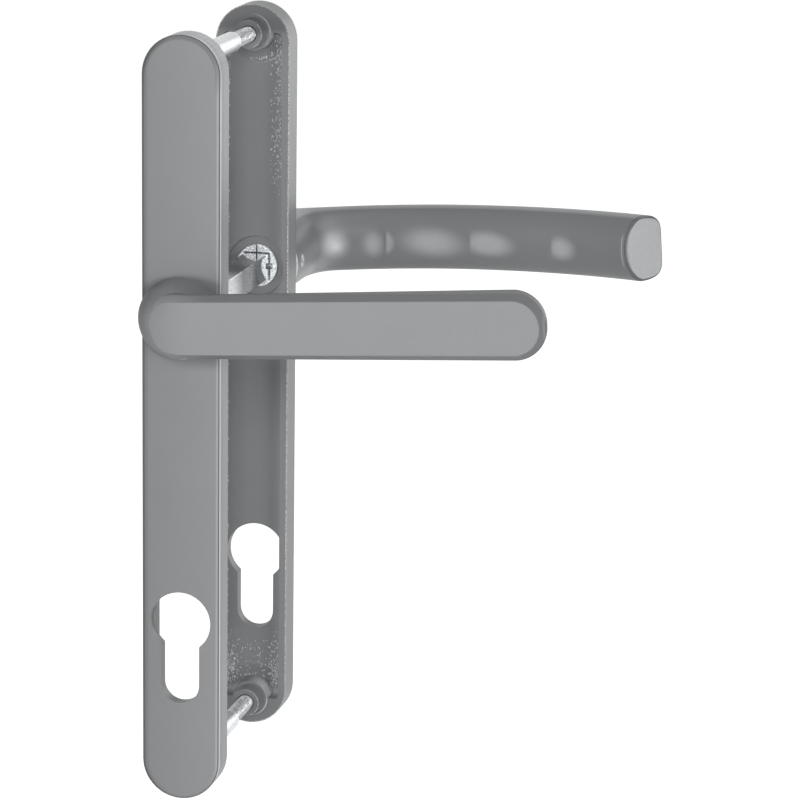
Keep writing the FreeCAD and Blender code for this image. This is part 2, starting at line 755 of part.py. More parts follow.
def main():
    os.makedirs("parts", exist_ok=True)
    save(to_outer(plate(sleeve_seat)), "outer_backplate")
    save(to_inner(plate(screw_hole)), "inner_backplate")
    save(outer_lever(), "outer_lever")
    save(inner_lever(), "inner_lever")
    save(outer_bearing_ring(), "outer_bearing_ring")
    save(to_inner(bearing_ring()), "inner_bearing_ring")
    save(to_outer(bush()), "outer_bush")
    save(to_inner(bush()), "inner_bush")
    save(to_outer(retaining_ring()), "outer_retaining_ring")
    save(to_inner(retaining_ring()), "inner_retaining_ring")
    save(to_outer(wave_washer()), "outer_wave_washer")
    save(to_inner(wave_washer()), "inner_wave_washer")
    save(outer_hub(), "outer_hub")
    save(inner_hub(), "inner_hub")
    save(spindle(), "spindle")
    save(spindle_pin(), "outer_spindle_pin")
    save(grub_screw(), "inner_grub_screw")
    save(sleeve(FIXING_TOP), "upper_sleeve")
    save(sleeve(-FIXING_BOTTOM), "lower_sleeve")
    save(screw(FIXING_TOP), "upper_screw")
    save(screw(-FIXING_BOTTOM), "lower_screw")


main()
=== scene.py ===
import math

import bpy
from mathutils import Matrix, Vector, noise


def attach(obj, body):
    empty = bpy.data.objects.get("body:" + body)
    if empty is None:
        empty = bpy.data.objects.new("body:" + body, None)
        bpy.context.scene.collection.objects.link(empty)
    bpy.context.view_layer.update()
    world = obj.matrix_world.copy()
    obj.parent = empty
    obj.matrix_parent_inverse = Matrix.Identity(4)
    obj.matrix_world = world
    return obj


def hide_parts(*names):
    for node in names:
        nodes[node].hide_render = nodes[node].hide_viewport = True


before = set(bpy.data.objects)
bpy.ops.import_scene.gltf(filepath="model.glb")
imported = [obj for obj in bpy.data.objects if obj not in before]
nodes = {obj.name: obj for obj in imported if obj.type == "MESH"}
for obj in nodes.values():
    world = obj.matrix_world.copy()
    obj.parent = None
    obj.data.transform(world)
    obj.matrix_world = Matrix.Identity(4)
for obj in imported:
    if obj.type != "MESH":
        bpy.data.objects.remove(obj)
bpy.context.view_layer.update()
scene = bpy.context.scene

# The frame is in metres. Sizes and places below are in millimetres, apart from those of the
# camera, the lamps and the floor.
MM = 0.001

# Camera, as fitted to the photograph
FOCAL_PX = 3787.0
IMAGE_PX = 800.0
SENSOR_MM = 36.0
CAMERA_AT = Vector((0.3051, -1.0435, 0.2205))
CAMERA_YAW = math.radians(13.04)
CAMERA_PITCH = math.radians(12.79)
CAMERA_ROLL = math.radians(0.76)
CAMERA_CLIP = (0.05, 50.0)

# Light: even ambient light, and soft boxes as (name, place, width, height, watts)
AMBIENT = 0.12
LIGHT_AIM = Vector((0.03, 0.0, -0.02))
LIGHTS = (
    ("front", (0.22, -1.0, 0.34), 0.3, 0.2, 3.55),
    ("right", (0.9, -0.7, 0.1), 0.5, 0.5, 4.25),
    ("left", (-0.8, -0.6, 0.1), 0.6, 0.5, 2.25),
    ("low", (-0.16, -0.52, 0.02), 0.34, 0.3, 0.15),
    ("top", (0.0, -0.3, 1.0), 0.7, 0.7, 1.4),
    ("back", (0.5, 1.1, 0.1), 0.6, 0.5, 1.4),
)
WHITE = (1.0, 1.0, 1.0, 1.0)

# Floor just under the lower ends of the plates
FLOOR_Z = -0.1468
FLOOR_HALF = 6.0
FLOOR_GREY = 0.82
FLOOR_GLOW = 0.92

# Plates: the door between them, their outline and hollow, and what stands in the hollow
DOOR_GAP = 68.0
PLATE_DEPTH = 10.0
FACE_Y = DOOR_GAP + PLATE_DEPTH
PLATE_SPAN = (-134.9, 70.5)
HOLLOW_FLOOR = 74.0
HOLLOW_HALF = 9.3
HOLLOW_SPAN = (-138.2, 73.6)
FIXINGS = (73.5, -138.5)
COLLAR_RADIUS = 5.85
RECESS_RADIUS = 10.0
CUT_Z = -92.0
CUT_RADIUS = 9.2
CUT_TAIL_HALF = 5.8
CUT_BOTTOM = -116.8

# Both levers stand a little above level; the flat one has a long facet with round ends
LEVER_TILT = math.radians(4.0)
FACET_LINE = (2.5, 102.8)
FACET_RADIUS = 9.45
FACET_BEVEL = 1.65
FACET_EDGE = FACET_RADIUS - FACET_BEVEL

# Arched lever: path, sections and slanting cut, with places as (X, distance from the plate's
# face). The quarter's handle makes a cubic curve follow a quarter of an ellipse.
ARCH_NECK_RADIUS = 11.6
ARCH_FOOT = 0.85
ARCH_APEX = (32.0, 44.5)
ARCH_RADII = (120.0, 180.0)
ARCH_NEAR_TURN = math.radians(13.0)
ARCH_START_TURN = math.radians(9.5)
ARCH_CUT = (118.4, 15.5)
ARCH_CUT_ANGLE = math.radians(43.0)
ARCH_CUT_ROUND = 1.3
NECK_CORNER = math.radians(34.0)
SECTION_FACET = 4.5
SECTION_FRONT = 7.65
SECTION_DEEP = 6.7
SECTION_TALL = 10.25
SECTION_CORNER = 8.6
SECTION_SHOULDER = 5.6
QUARTER_HANDLE = 0.5523

# Its mesh: points per strip of a ring, rings spaced evenly, leaning towards the cut and rounding
# its edge, the search for the cut, and the rings that ease the inside of the bend
POINTS_PER_STRIP = (8, 14, 18, 18, 14)
EVEN_LENGTH = 112.0
EVEN_STEP = 0.95
LEANING_RINGS = 24
ROUNDING_RINGS = 7
CUT_SEARCH = (60.0, 175.0)
CUT_SEARCH_STEPS = 40
EASE_ROWS = (12, 84)
EASE_STEPS = 60
EASE_FROM = (0.5, 4.0)

# Finger hollows as (X, Z, half length, half height, depth, painted highlight, level share, near end)
FINGERS = (
    (15.3, 0.4, 5.2, 6.0, 0.15, 1.25, 0.0, 0.0),
    (27.4, 0.9, 4.4, 5.8, 0.6, 0.85, 0.1, 0.0),
    (47.0, 2.5, 12.6, 6.4, 0.6, 0.95, 0.15, 0.0),
    (65.6, 3.8, 10.4, 5.2, 0.6, 0.95, 0.25, 59.3),
    (91.0, 5.4, 5.8, 4.9, 0.5, 0.95, 0.2, 87.3),
)
FINGER_FROM = (1.0, 4.5)
FINGER_SPREAD = 0.8
FINGER_SHINE = 1.1
FINGER_END = (-0.6, 0.8)

# Holes in the arched lever's neck; a cutter stands clear of what sits in its hole, and its end
# sticks out of the surface
HUB_RADIUS = 6.75
HUB_IN_NECK = 14.0
GRUB_RADIUS = 2.0
GRUB_HEIGHT = 8.5
GRUB_REACH = 20.0
CUTTER_PLAY = 0.02
CUTTER_OUT = 1.0
BORE_SIDES = 64
HOLE_SIDES = 32

# Screws: thread between the sleeve and the boss, and rows of the mesh
SCREW_RADIUS = 2.45
SCREW_PLAY = 0.01
SCREW_TIP = 28.0
SCREW_BEVEL = 0.6
SCREW_HEAD_RADIUS = 4.6
SCREW_HEAD_DEPTH = 2.4
SCREW_HEAD_ROWS = ((0.15, 0.12), (0.01, 0.25))
SCREW_SOCKET = 3.0
SCREW_SOCKET_DEPTH = 1.8
SCREW_SIDES = 40
SHANK_STEP = 1.5
SHANK_ROWS = 10
SHANK_TOP_ROWS = (68.0, 71.0, 74.0)
THREAD_PITCH = 0.8
THREAD_DEPTH = 0.46
THREAD_SPAN = (42.6, 65.0)
THREAD_STEP = 0.09
THREAD_FLANK = (1.3, 0.15)

# Cast skin in the hollow: cells, and the places where it is rough, mostly as (start, length)
SKIN_CELL = 0.2
SKIN_UNDER = 0.03
SKIN_THICK = 0.5
SKIN_PROUD = 0.55
SKIN_LEAST = 0.03
SKIN_MARGIN = 0.3
SKIN_CLEAR = 0.5
COLLAR_OVERLAP = 0.2
FOOT_DOWN = (116.0, 16.0)
FOOT_CORNERS = (4.0, 4.0)
FOOT_MIDDLE = 0.14
FOOT_RIGHT = (5.0, 0.3)
UPPER_RIGHT = (3.5, 4.5)
UPPER_SHARE = 0.5
UPPER_FROM = (20.0, 14.0)
UPPER_FULL = (50.0, 14.0)
RIGHT_WALL = (7.6, 1.2)
RIGHT_WALL_SHARE = 0.3
LEFT_WALL = (8.6, 0.3)
LEFT_WALL_SHARE = 0.4
BOSS_RING = (8.8, 0.9)
BOSS_RIGHT = (-3.0, 4.0)
ROUGHEST = 1.2

# Its peaks: the noises added up, as (weight, X and Z along, X and Z across, layer), what is taken
# off everywhere and where the floor is smooth, the gain, and the height kept where it is smooth
SKIN_NOISES = ((0.9, (2.9, 0.6), (-0.5, 1.0), 3.1), (0.5, (4.3, 0.0), (0.0, 2.0), 9.7))
SKIN_SUNK = 0.1
SKIN_SMOOTHED = 0.3
SKIN_GAIN = 2.2
SKIN_SHARE = 0.4

# Angles, in degrees, past which an edge of a mesh is drawn sharp
SHARP = 35.0
SHARP_SCREW = 50.0
SHARP_SKIN = 80.0

# Noise as (scale, detail, roughness); a metal's own scale stands with it
CLOUDS = (45.0, 3.0, 0.6)
SPECKS = (3400.0, 2.0, 0.7)
COAT_GLOSS = (900.0, 2.0, 0.5)
PEEL = (1900.0, 1.5, 0.5)
METAL_GRAIN = (3.0, 0.65)
METAL_GLOSS = (2.0, 0.5)
METAL_GLOSS_SCALE = 0.6
MOULDED = (700.0, 3.0, 0.5)
FLECKS = (2600.0, 2.0, 0.7)
GRIP_GRAIN = (2900.0, 2.0, 0.6)
SLEEVE_LINE_NOISE = (1500.0, 3.0, 0.7)
POLISH = (2000.0, 2.0, 0.6)

# What a noise does: the part of its range that is used, how far it takes tone and gloss from the
# level and roughness given, and relief as (strength, metres)
SPECK_RANGE = (0.25, 0.75)
METAL_RANGE = (0.35, 0.65)
PLAIN_RANGE = (0.3, 0.7)
FLECK_RANGE = (0.42, 0.58)
SLEEVE_LINE_RANGE = (0.5, 0.62)
GRIP_GRAIN_TONE = (0.82, 1.18, 0.3, 0.7)
CLOUD_GAIN = 0.04
PLAIN_CONTRAST = 0.15
COAT_UNEVEN = 0.05
GLOSS_UNEVEN = 0.08
PEEL_RELIEF = (0.35, 0.00002)
METAL_RELIEF = 0.6
PLAIN_RELIEF = (0.3, 0.00003)
COAT_IOR = 1.5
COAT_SPECULAR = 0.24

# Painted light and shade, with a little tone of the parts' own, as rows of (what a row shows,
# gain, masks). A mask is the name of a field, ("slope", field, from, to), ("soft", field, from,
# to), ("band", field, low, high, softness) or ("blob", X, Z, half length, half height, level
# share). A slope may run down an axis. Where a value is spread over an axis, it is (at the start,
# at the end, start, end).
OUTER_FRONT = ("slope", "y", -7.0, -7.6)
OUTER_LEFT = ("slope", "x", -3.0, -9.0)
# Painted light and shade on the outer plate's face and edges
OUTER_PAINTED_LIGHT = (
    ("glint before the right edge", 0.38, ("band", "edge", 10.85, 11.55, 0.2),
     ("slope", "x", 3.0, 9.0), ("slope", "z", 76.0, 64.0)),
    # painted shade on the left edge's rounding
    ("left edge", -0.5, ("band", "edge", 10.75, 12.7, 0.2), OUTER_LEFT),
    ("shade before the left edge", -0.17, ("band", "edge", 9.9, 10.75, 0.4), OUTER_LEFT),
    # painted shade along the rounding of the crown
    ("edge of the crown", -0.3, ("band", "edge", 10.35, 12.2, 0.3), ("slope", "z", 64.0, 76.0)),
    # painted shade along the rounding of the foot
    ("edge of the foot", -0.3, ("band", "edge", 10.9, 12.3, 0.3), ("slope", "z", -136.0, -142.0)),
    ("lit top of the side", 1.3, ("slope", "reach", 11.6, 11.69), ("slope", "z", 74.0, 81.5)),
    ("shade above the lever", -0.3, ("soft", "around", 1.1, 0.92), ("slope", "z", 0.0, 4.0),
     OUTER_FRONT),
    # painted light: the face darker to the left and lighter to the right
    ("left darker than right", 1.0, "lean"),
    # painted light: lighter towards the foot
    ("lighter foot", 0.07, ("slope", "z", -70.0, -130.0)),
    # painted light on the side faces
    ("side of the plate", 0.3, ("slope", "reach", 11.6, 11.7)),
    # painted shade where the face starts to round
    ("dark start of the rounding", -0.62, ("band", "edge", 11.85, 12.4, 0.16), OUTER_FRONT),
    # painted highlight along the rounded edge, fading towards the crown
    ("worn line along it", 1.5, ("band", "edge", 12.55, 13.6, 0.2), OUTER_FRONT, "line_share"),
    # painted shade of a groove along the side
    ("groove in the side", -0.18, ("band", "edge", 15.1, 16.1, 0.3)),
)
# painted light: the face's level from its left edge to its right edge
OUTER_LEAN = (-0.11, 0.05, -11.0, 11.0)
# share of the painted highlight line up the plate
LINE_SHARE = (1.0, 0.25, 62.0, 72.0)
LEVER_SHADE = (2.5, 0.5, 18.0, 11.6)

INNER_RIGHT = ("slope", "x", -1.0, 4.0)
INNER_SIDE = (11.5, 11.65)
INNER_BACK = (77.6, 77.2)
INNER_DEEP = (70.0, 73.5)
# Tone of the inner plate, with painted light and shade over its floor, rim and edges
INNER_TONE_AND_PAINTED_LIGHT = (
    ("cast skin", -0.16, "cast"),
    # painted highlights along the rim's edge, broken into specks
    ("specks along the rim", 2.2, ("band", "reach", 11.35, 11.62, 0.1),
     ("slope", "y", 68.6, 68.3), "fleck"),
    # painted light lifting the shade on the right of the hollow's floor
    ("right of the floor", 0.3, ("soft", "x", 5.0, HOLLOW_HALF), "deep"),
    # painted light lifting the outer plate's shadow on the left of the floor
    ("left of the floor", 0.22, ("slope", "x", -1.0, -9.0), "deep"),
    # painted shade on the rim at the crown
    ("rim of the crown", -0.36, ("slope", "z", 73.0, 75.0), ("slope", "y", 68.4, 68.1)),
    ("painted side", 0.12, "outside"),
    # painted light lifting the shade at both ends of the hollow
    ("foot of the floor", 1.1, ("soft", "z", HOLLOW_SPAN[0] + 4.0, HOLLOW_SPAN[0]), "deep"),
    ("head of the floor", 1.1, ("soft", "z", HOLLOW_SPAN[1] - 4.0, HOLLOW_SPAN[1]), "deep"),
    # painted highlight along the side, broken into specks
    ("worn line on the side", 0.3, ("band", "y", 68.5, 69.3, 0.15), "outside", "fleck"),
    # painted shade along the far edge
    ("far edge", -0.32, ("slope", "y", 76.4, 76.9), ("slope", "reach", 10.2, 10.6)),
)
# Painted light and shade round each boss of the inner plate
BOSS_PAINTED_LIGHT = (
    ("lit edge of the collar", 2.2, ("band", "ring", 5.5, 5.75, 0.12), "cast", INNER_RIGHT),
    # painted shade on the flank of the boss
    ("flank of the boss", -0.25, ("slope", "ring", 6.4, 6.2), ("slope", "x", 0.0, 5.0),
     ("slope", "y", 67.9, 68.4), "cast"),
    # painted shade in the basin round the boss
    ("basin round the boss", -0.12, ("band", "ring", 6.5, 9.6, 0.4), "deep"),
    # painted highlight on the arc of the recess
    ("arc of the recess", 1.3, ("band", "ring", 9.85, 10.15, 0.1), INNER_RIGHT, "deep", "fleck"),
    # painted highlight on the lip of the bore
    ("lip of the bore", 2.4, ("band", "ring", 4.1, 4.35, 0.1), INNER_RIGHT, "fleck"),
)

FLAT_FRONT = ("slope", "y", -19.0, -21.0)
FLAT_FREE = ("soft", "x", 0.0, 16.0)
# Painted light and shade on the flat lever
FLAT_PAINTED_LIGHT = (
    # painted shade on the bevel
    ("bevel", -0.38, ("slope", "reach", FACET_EDGE - 0.15, FACET_EDGE + 0.15), FLAT_FREE,
     FLAT_FRONT),
    # painted shade along the facet's edge
    ("line round the facet", -0.12, ("band", "reach", FACET_EDGE - 0.25, FACET_EDGE + 0.1, 0.12),
     FLAT_FREE, FLAT_FRONT),
    # painted shade on the top of the neck
    ("top of the neck", -0.3, ("slope", "y", -28.0, -21.0), ("slope", "x", 22.0, 12.0),
     ("soft", "z", 0.0, 9.0)),
    # painted shade on the neck's left rim
    ("left rim of the neck", -0.75, ("slope", "reach", 8.0, 14.6), ("slope", "x", 0.0, -8.0)),
    ("glint at the tip", 0.3, ("band", "x", 111.35, 111.95, 0.12), ("band", "z", -6.0, 4.5, 2.0)),
)

# Painted light and shade on the door side of the arched lever
ARCH_PAINTED_LIGHT = (
    # painted highlight in the first hollow
    ("heart of the first hollow", 0.2, ("blob", 15.9, -0.5, 2.8, 2.6, 0.0), "inward"),
    # painted highlight on the crest beside the second hollow
    ("crest beside the second", 0.75, ("blob", 28.9, 1.5, 5.9, 5.2, 0.6),
     ("slope", "x", 31.0, 31.8), "inward"),
    # painted shade in the fold before the crest
    ("fold before the crest", -0.18, ("band", "x", 30.7, 31.3, 0.6),
     ("band", "z", -0.6, 4.4, 1.2), "inward"),
    # painted light lifting the shade inside the bend
    ("inside of the bend", 0.3, ("band", "x", 10.5, 15.0, 3.5), ("band", "z", -8.0, 9.0, 3.0),
     "inward"),
    # painted light on the underside of the neck
    ("underside of the neck", 0.6, ("soft", "x", 14.0, 9.0), ("soft", "z", -1.0, -6.0), "inward"),
)
# Painted light and shade on the arched lever's top, neck and cut
ARCH_CUT_PAINTED_LIGHT = (
    # painted highlight along the top edge
    ("top edge", 0.9, ("slope", "z", 9.5, 10.1)),
    # painted highlight on the shoulder of the neck
    ("shoulder of the neck", 1.0, ("soft", "z", 7.6, 9.2), ("slope", "x", 8.0, 2.0)),
    ("shine before the cut", 0.9, ("band", "face", -2.2, -1.75, 0.15),
     ("slope", "sum", 203.6, 202.6)),
    # painted shade along the edge of the cut
    ("dark edge of the cut", -0.4, ("band", "face", -1.0, -0.1, 0.05)),
    ("face of the cut", 1.2, ("slope", "cut", -0.12, -0.03), "grain"),
)
INWARD_LIMITS = (1.0, -2.0)
CUT_SLACK = (0.3, 0.0, 203.0, 207.0)

# painted highlight on the sleeve's rounded rim
SLEEVE_PAINTED_LIGHT = (("burnished rim", 0.5, ("slope", "y", 43.3, 43.6)),)
SLEEVE_LINE_GAIN = -0.35
SLEEVE_LINE_BAND = (-0.6, -0.1, 0.4)
# Painted light and shade on the spindle, and its polished inner end
SPINDLE_POLISH_AND_PAINTED_LIGHT = (
    # painted light on the top face, fading to painted shade towards the inner end
    ("top face", 1.0, ("slope", "z", 3.93, 3.98), "top_share"),
    # painted shade towards the inner end, where it lies in the hollow
    ("dark towards the inner end", -0.58, ("slope", "y", 33.0, 44.0)),
    ("polished end", 1.9, "mirror"),
    # painted highlight on the long edges
    ("long edges", 0.35, "edge"),
)
SPINDLE_GLOSS = (("long edges", 1.6, "edge"), ("polished end", -0.8, "mirror"))
SPINDLE_EDGE = (3.7, 3.8)
SPINDLE_TOP = (0.65, -0.15, 26.0, 50.0)
SPINDLE_BRIGHTEST = 0.97
POLISHED_SPAN = (46.0, 60.0)
POLISHED_SPREAD = 30.0
HUB_PAINTED_LIGHT_AND_POLISH = (
    # painted light: the face brighter towards its free side, on the right
    ("free side", 0.72, ("slope", "x", 1.0, 5.0)),
    ("polished rim", 0.3, ("slope", "ring", 6.2, 6.4)),
)
THREAD_ROOT = (2.4, 2.05)
# painted shade in the thread roots
ROOT_SHADE = -0.62
ROOT_DULL = 0.8
# painted shade on the upper half of each slide ring
RING_PAINTED_SHADE = (("greyed above its middle", -0.62, ("slope", "z", 3.0, 6.0)),)


class Graph:
    """Small wrapper that builds a material's node tree."""

    def __init__(self, name):
        self.material = bpy.data.materials.new(name)
        self.material.use_nodes = True
        self.tree = self.material.node_tree
        self.tree.nodes.clear()
        self.out = self.tree.nodes.new("ShaderNodeOutputMaterial")

    def node(self, kind, **settings):
        made = self.tree.nodes.new(kind)
        for key, value in settings.items():
            setattr(made, key, value)
        return made

    def link(self, a, b):
        self.tree.links.new(a, b)

    def place(self):
        return self.node("ShaderNodeTexCoord").outputs["Object"]

    def noise(self, vector, scale, detail, rough):
        made = self.node("ShaderNodeTexNoise")
        made.inputs["Scale"].default_value = scale
        made.inputs["Detail"].default_value = detail
        made.inputs["Roughness"].default_value = rough
        self.link(vector, made.inputs["Vector"])
        return made.outputs["Fac"]

    def math(self, operation, a, b=None):
        made = self.node("ShaderNodeMath", operation=operation)
        for socket, value in zip(made.inputs, (a, b)):
            if value is None:
                continue
            if isinstance(value, (int, float)):
                socket.default_value = value
            else:
                self.link(value, socket)
        return made.outputs[0]

    def product(self, factors):
        made = factors[0]
        for factor in factors[1:]:
            made = self.math("MULTIPLY", made, factor)
        return made

    def span(self, value, low, high, start=0.0, end=1.0, smooth=False):
        """Map start..end to low..high."""
        made = self.node("ShaderNodeMapRange")
        if smooth:
            made.interpolation_type = "SMOOTHSTEP"
        made.inputs["From Min"].default_value = start
        made.inputs["From Max"].default_value = end
        made.inputs["To Min"].default_value = low
        made.inputs["To Max"].default_value = high
        self.link(value, made.inputs["Value"])
        return made.outputs[0]

    def slope(self, value, start, end, smooth=False):
        """Nothing at start, one at end and past it; start may be the greater of the two."""
        if start < end:
            return self.span(value, 0.0, 1.0, start, end, smooth)
        return self.span(value, 1.0, 0.0, end, start, smooth)

    def band(self, value, low, high, soft):
        """One between low and high, nothing outside, with soft edges."""
        rise = self.slope(value, low - soft, low + soft, True)
        fall = self.slope(value, high + soft, high - soft, True)
        return self.math("MULTIPLY", rise, fall)

    def fields(self, place):
        """X, Y and Z of a place in millimetres, by name."""
        scaled = self.node("ShaderNodeVectorMath", operation="SCALE")
        scaled.inputs["Scale"].default_value = 1.0 / MM
        self.link(place, scaled.inputs["Vector"])
        made = self.node("ShaderNodeSeparateXYZ")
        self.link(scaled.outputs["Vector"], made.inputs[0])
        return dict(zip("xyz", made.outputs))

    def turned(self, vector, angle):
        """The same place seen in a frame turned about Y."""
        made = self.node("ShaderNodeMapping")
        made.inputs["Rotation"].default_value = (0.0, angle, 0.0)
        self.link(vector, made.inputs["Vector"])
        return made.outputs[0]

    def length(self, a, b):
        total = self.math("ADD", self.math("MULTIPLY", a, a), self.math("MULTIPLY", b, b))
        return self.math("POWER", total, 0.5)

    def past(self, value, low, high):
        """How far a value lies outside a span, with its sign."""
        held = self.math("MAXIMUM", self.math("MINIMUM", value, high), low)
        return self.math("SUBTRACT", value, held)

    def ellipse(self, fields, x, z, half_x, half_z):
        """Distance from a point in the plane of X and Z, counted so that it is one on an ellipse."""
        across = self.math("MULTIPLY", self.math("SUBTRACT", fields["x"], x), 1.0 / half_x)
        up = self.math("MULTIPLY", self.math("SUBTRACT", fields["z"], z), 1.0 / half_z)
        return self.length(across, up)

    def mask(self, fields, rule):
        """Mask that a rule in the tables of wear describes."""
        if isinstance(rule, str):
            return fields[rule]
        kind, *values = rule
        if kind == "blob":
            *shape, level = values
            return self.slope(self.ellipse(fields, *shape), 1.0, level, True)
        field, *limits = values
        if kind == "band":
            return self.band(fields[field], *limits)
        return self.slope(fields[field], *limits, kind == "soft")

    def gain(self, tone, mask, amount):
        """Tone made brighter, or darker, by an amount where the mask is one."""
        factor = self.math("ADD", self.math("MULTIPLY", mask, amount), 1.0)
        return self.math("MULTIPLY", tone, factor)

    def lay_rows(self, tone, fields, rows):
        """Tone with every row of a table of painted light, shade and tone laid over it."""
        for _, amount, *rules in rows:
            share = self.product([self.mask(fields, rule) for rule in rules])
            tone = self.gain(tone, share, amount)
        return tone

    def bump(self, height, strength, distance):
        made = self.node("ShaderNodeBump")
        made.inputs["Strength"].default_value = strength
        made.inputs["Distance"].default_value = distance
        self.link(height, made.inputs["Height"])
        return made.outputs["Normal"]

    def principled(self, **values):
        made = self.node("ShaderNodeBsdfPrincipled")
        for key, value in values.items():
            made.inputs[key.replace("_", " ")].default_value = value
        self.link(made.outputs["BSDF"], self.out.inputs["Surface"])
        return made

    def colour(self, tone):
        """Neutral grey, a trace cool, of a linear level."""
        made = self.node("ShaderNodeValToRGB")
        dark, light = made.color_ramp.elements
        dark.color = (0.0, 0.0, 0.0, 1.0)
        light.color = (0.975, 1.0, 1.02, 1.0)
        self.link(tone, made.inputs["Fac"])
        return made.outputs["Color"]


def coat(name, level, rough, detail=None, grain=0.05):
    """Satin powder coat: orange peel, faint clouds and specks, and what detail adds to its tone."""
    g = Graph(name)
    place = g.place()
    shader = g.principled(IOR=COAT_IOR, Specular_IOR_Level=COAT_SPECULAR)
    clouds = g.span(g.noise(place, *CLOUDS), -CLOUD_GAIN, CLOUD_GAIN)
    specks = g.span(g.noise(place, *SPECKS), -grain, grain, *SPECK_RANGE)
    tone = g.math("MULTIPLY", g.math("ADD", g.math("ADD", clouds, specks), 1.0), level)
    if detail is not None:
        tone = detail(g, place, tone)
    gloss = g.span(g.noise(place, *COAT_GLOSS), rough - COAT_UNEVEN, rough + COAT_UNEVEN)
    g.link(g.colour(tone), shader.inputs["Base Color"])
    g.link(gloss, shader.inputs["Roughness"])
    g.link(g.bump(g.noise(place, *PEEL), *PEEL_RELIEF), shader.inputs["Normal"])
    return g.material


def metal(name, level, rough, grain, depth, contrast=0.3, detail=None, relief=None):
    """Plated steel with a grainy skin; detail returns tone and roughness, relief scales the grain."""
    g = Graph(name)
    place = g.place()
    shader = g.principled(Metallic=1.0)
    height = g.noise(place, grain, *METAL_GRAIN)
    tone = g.span(height, level * (1.0 - contrast), level * (1.0 + contrast), *METAL_RANGE)
    uneven = g.noise(place, grain * METAL_GLOSS_SCALE, *METAL_GLOSS)
    gloss = g.span(uneven, rough - GLOSS_UNEVEN, rough + GLOSS_UNEVEN)
    if detail is not None:
        tone, gloss = detail(g, place, tone, gloss)
    if relief is not None:
        height = g.math("MULTIPLY", height, relief(g, place))
    g.link(g.colour(tone), shader.inputs["Base Color"])
    g.link(gloss, shader.inputs["Roughness"])
    g.link(g.bump(height, METAL_RELIEF, depth), shader.inputs["Normal"])
    return g.material


def plain(name, level, rough, detail=None):
    """Moulded plastic, faintly uneven."""
    g = Graph(name)
    place = g.place()
    shader = g.principled()
    uneven = g.noise(place, *MOULDED)
    less, more = level * (1.0 - PLAIN_CONTRAST), level * (1.0 + PLAIN_CONTRAST)
    tone = g.span(uneven, less, more, *PLAIN_RANGE)
    if detail is not None:
        tone = detail(g, place, tone)
    gloss = g.span(uneven, rough - GLOSS_UNEVEN, rough + GLOSS_UNEVEN)
    g.link(g.colour(tone), shader.inputs["Base Color"])
    g.link(gloss, shader.inputs["Roughness"])
    g.link(g.bump(uneven, *PLAIN_RELIEF), shader.inputs["Normal"])
    return g.material


def plate_fields(g, place):
    """Fields of a place on a plate; reach is counted from its middle line, so from half its width."""
    fields = g.fields(place)
    fields["reach"] = g.length(fields["x"], g.past(fields["z"], *PLATE_SPAN))
    return fields


def outer_plate_detail(g, place, tone):
    """Painted shade where the edge starts to round, a painted highlight line where it meets the
    side, and painted light and shade over the face.
    """
    fields = plate_fields(g, place)
    fields["edge"] = g.math("ADD", fields["reach"], g.math("ADD", fields["y"], PLATE_DEPTH))
    fields["around"] = g.ellipse(fields, *LEVER_SHADE)
    fields["lean"] = g.span(fields["x"], *OUTER_LEAN)
    fields["line_share"] = g.span(fields["z"], *LINE_SHARE)
    return g.lay_rows(tone, fields, OUTER_PAINTED_LIGHT)


def inner_plate_detail(g, place, tone):
    """Cast skin inside the outline, coat outside it, painted light and shade over the floor, rim
    and edges, and painted highlights broken into specks along edges and collars.
    """
    fields = plate_fields(g, place)
    fields["outside"] = g.slope(fields["reach"], *INNER_SIDE)
    front = g.slope(fields["y"], *INNER_BACK)
    fields["cast"] = g.math("MULTIPLY", g.math("SUBTRACT", 1.0, fields["outside"]), front)
    fields["deep"] = g.math("MULTIPLY", g.slope(fields["y"], *INNER_DEEP), fields["cast"])
    fields["fleck"] = g.slope(g.noise(place, *FLECKS), *FLECK_RANGE)
    tone = g.lay_rows(tone, fields, INNER_TONE_AND_PAINTED_LIGHT)
    for z in FIXINGS:
        fields["ring"] = g.length(fields["x"], g.math("SUBTRACT", fields["z"], z))
        tone = g.lay_rows(tone, fields, BOSS_PAINTED_LIGHT)
    return tone


def flat_lever_detail(g, place, tone):
    """Painted shade on the bevels, flanks and neck of the flat lever, and a painted glint at its tip.
    """
    fields = g.fields(g.turned(place, LEVER_TILT))
    fields["reach"] = g.length(g.past(fields["x"], *FACET_LINE), fields["z"])
    return g.lay_rows(tone, fields, FLAT_PAINTED_LIGHT)


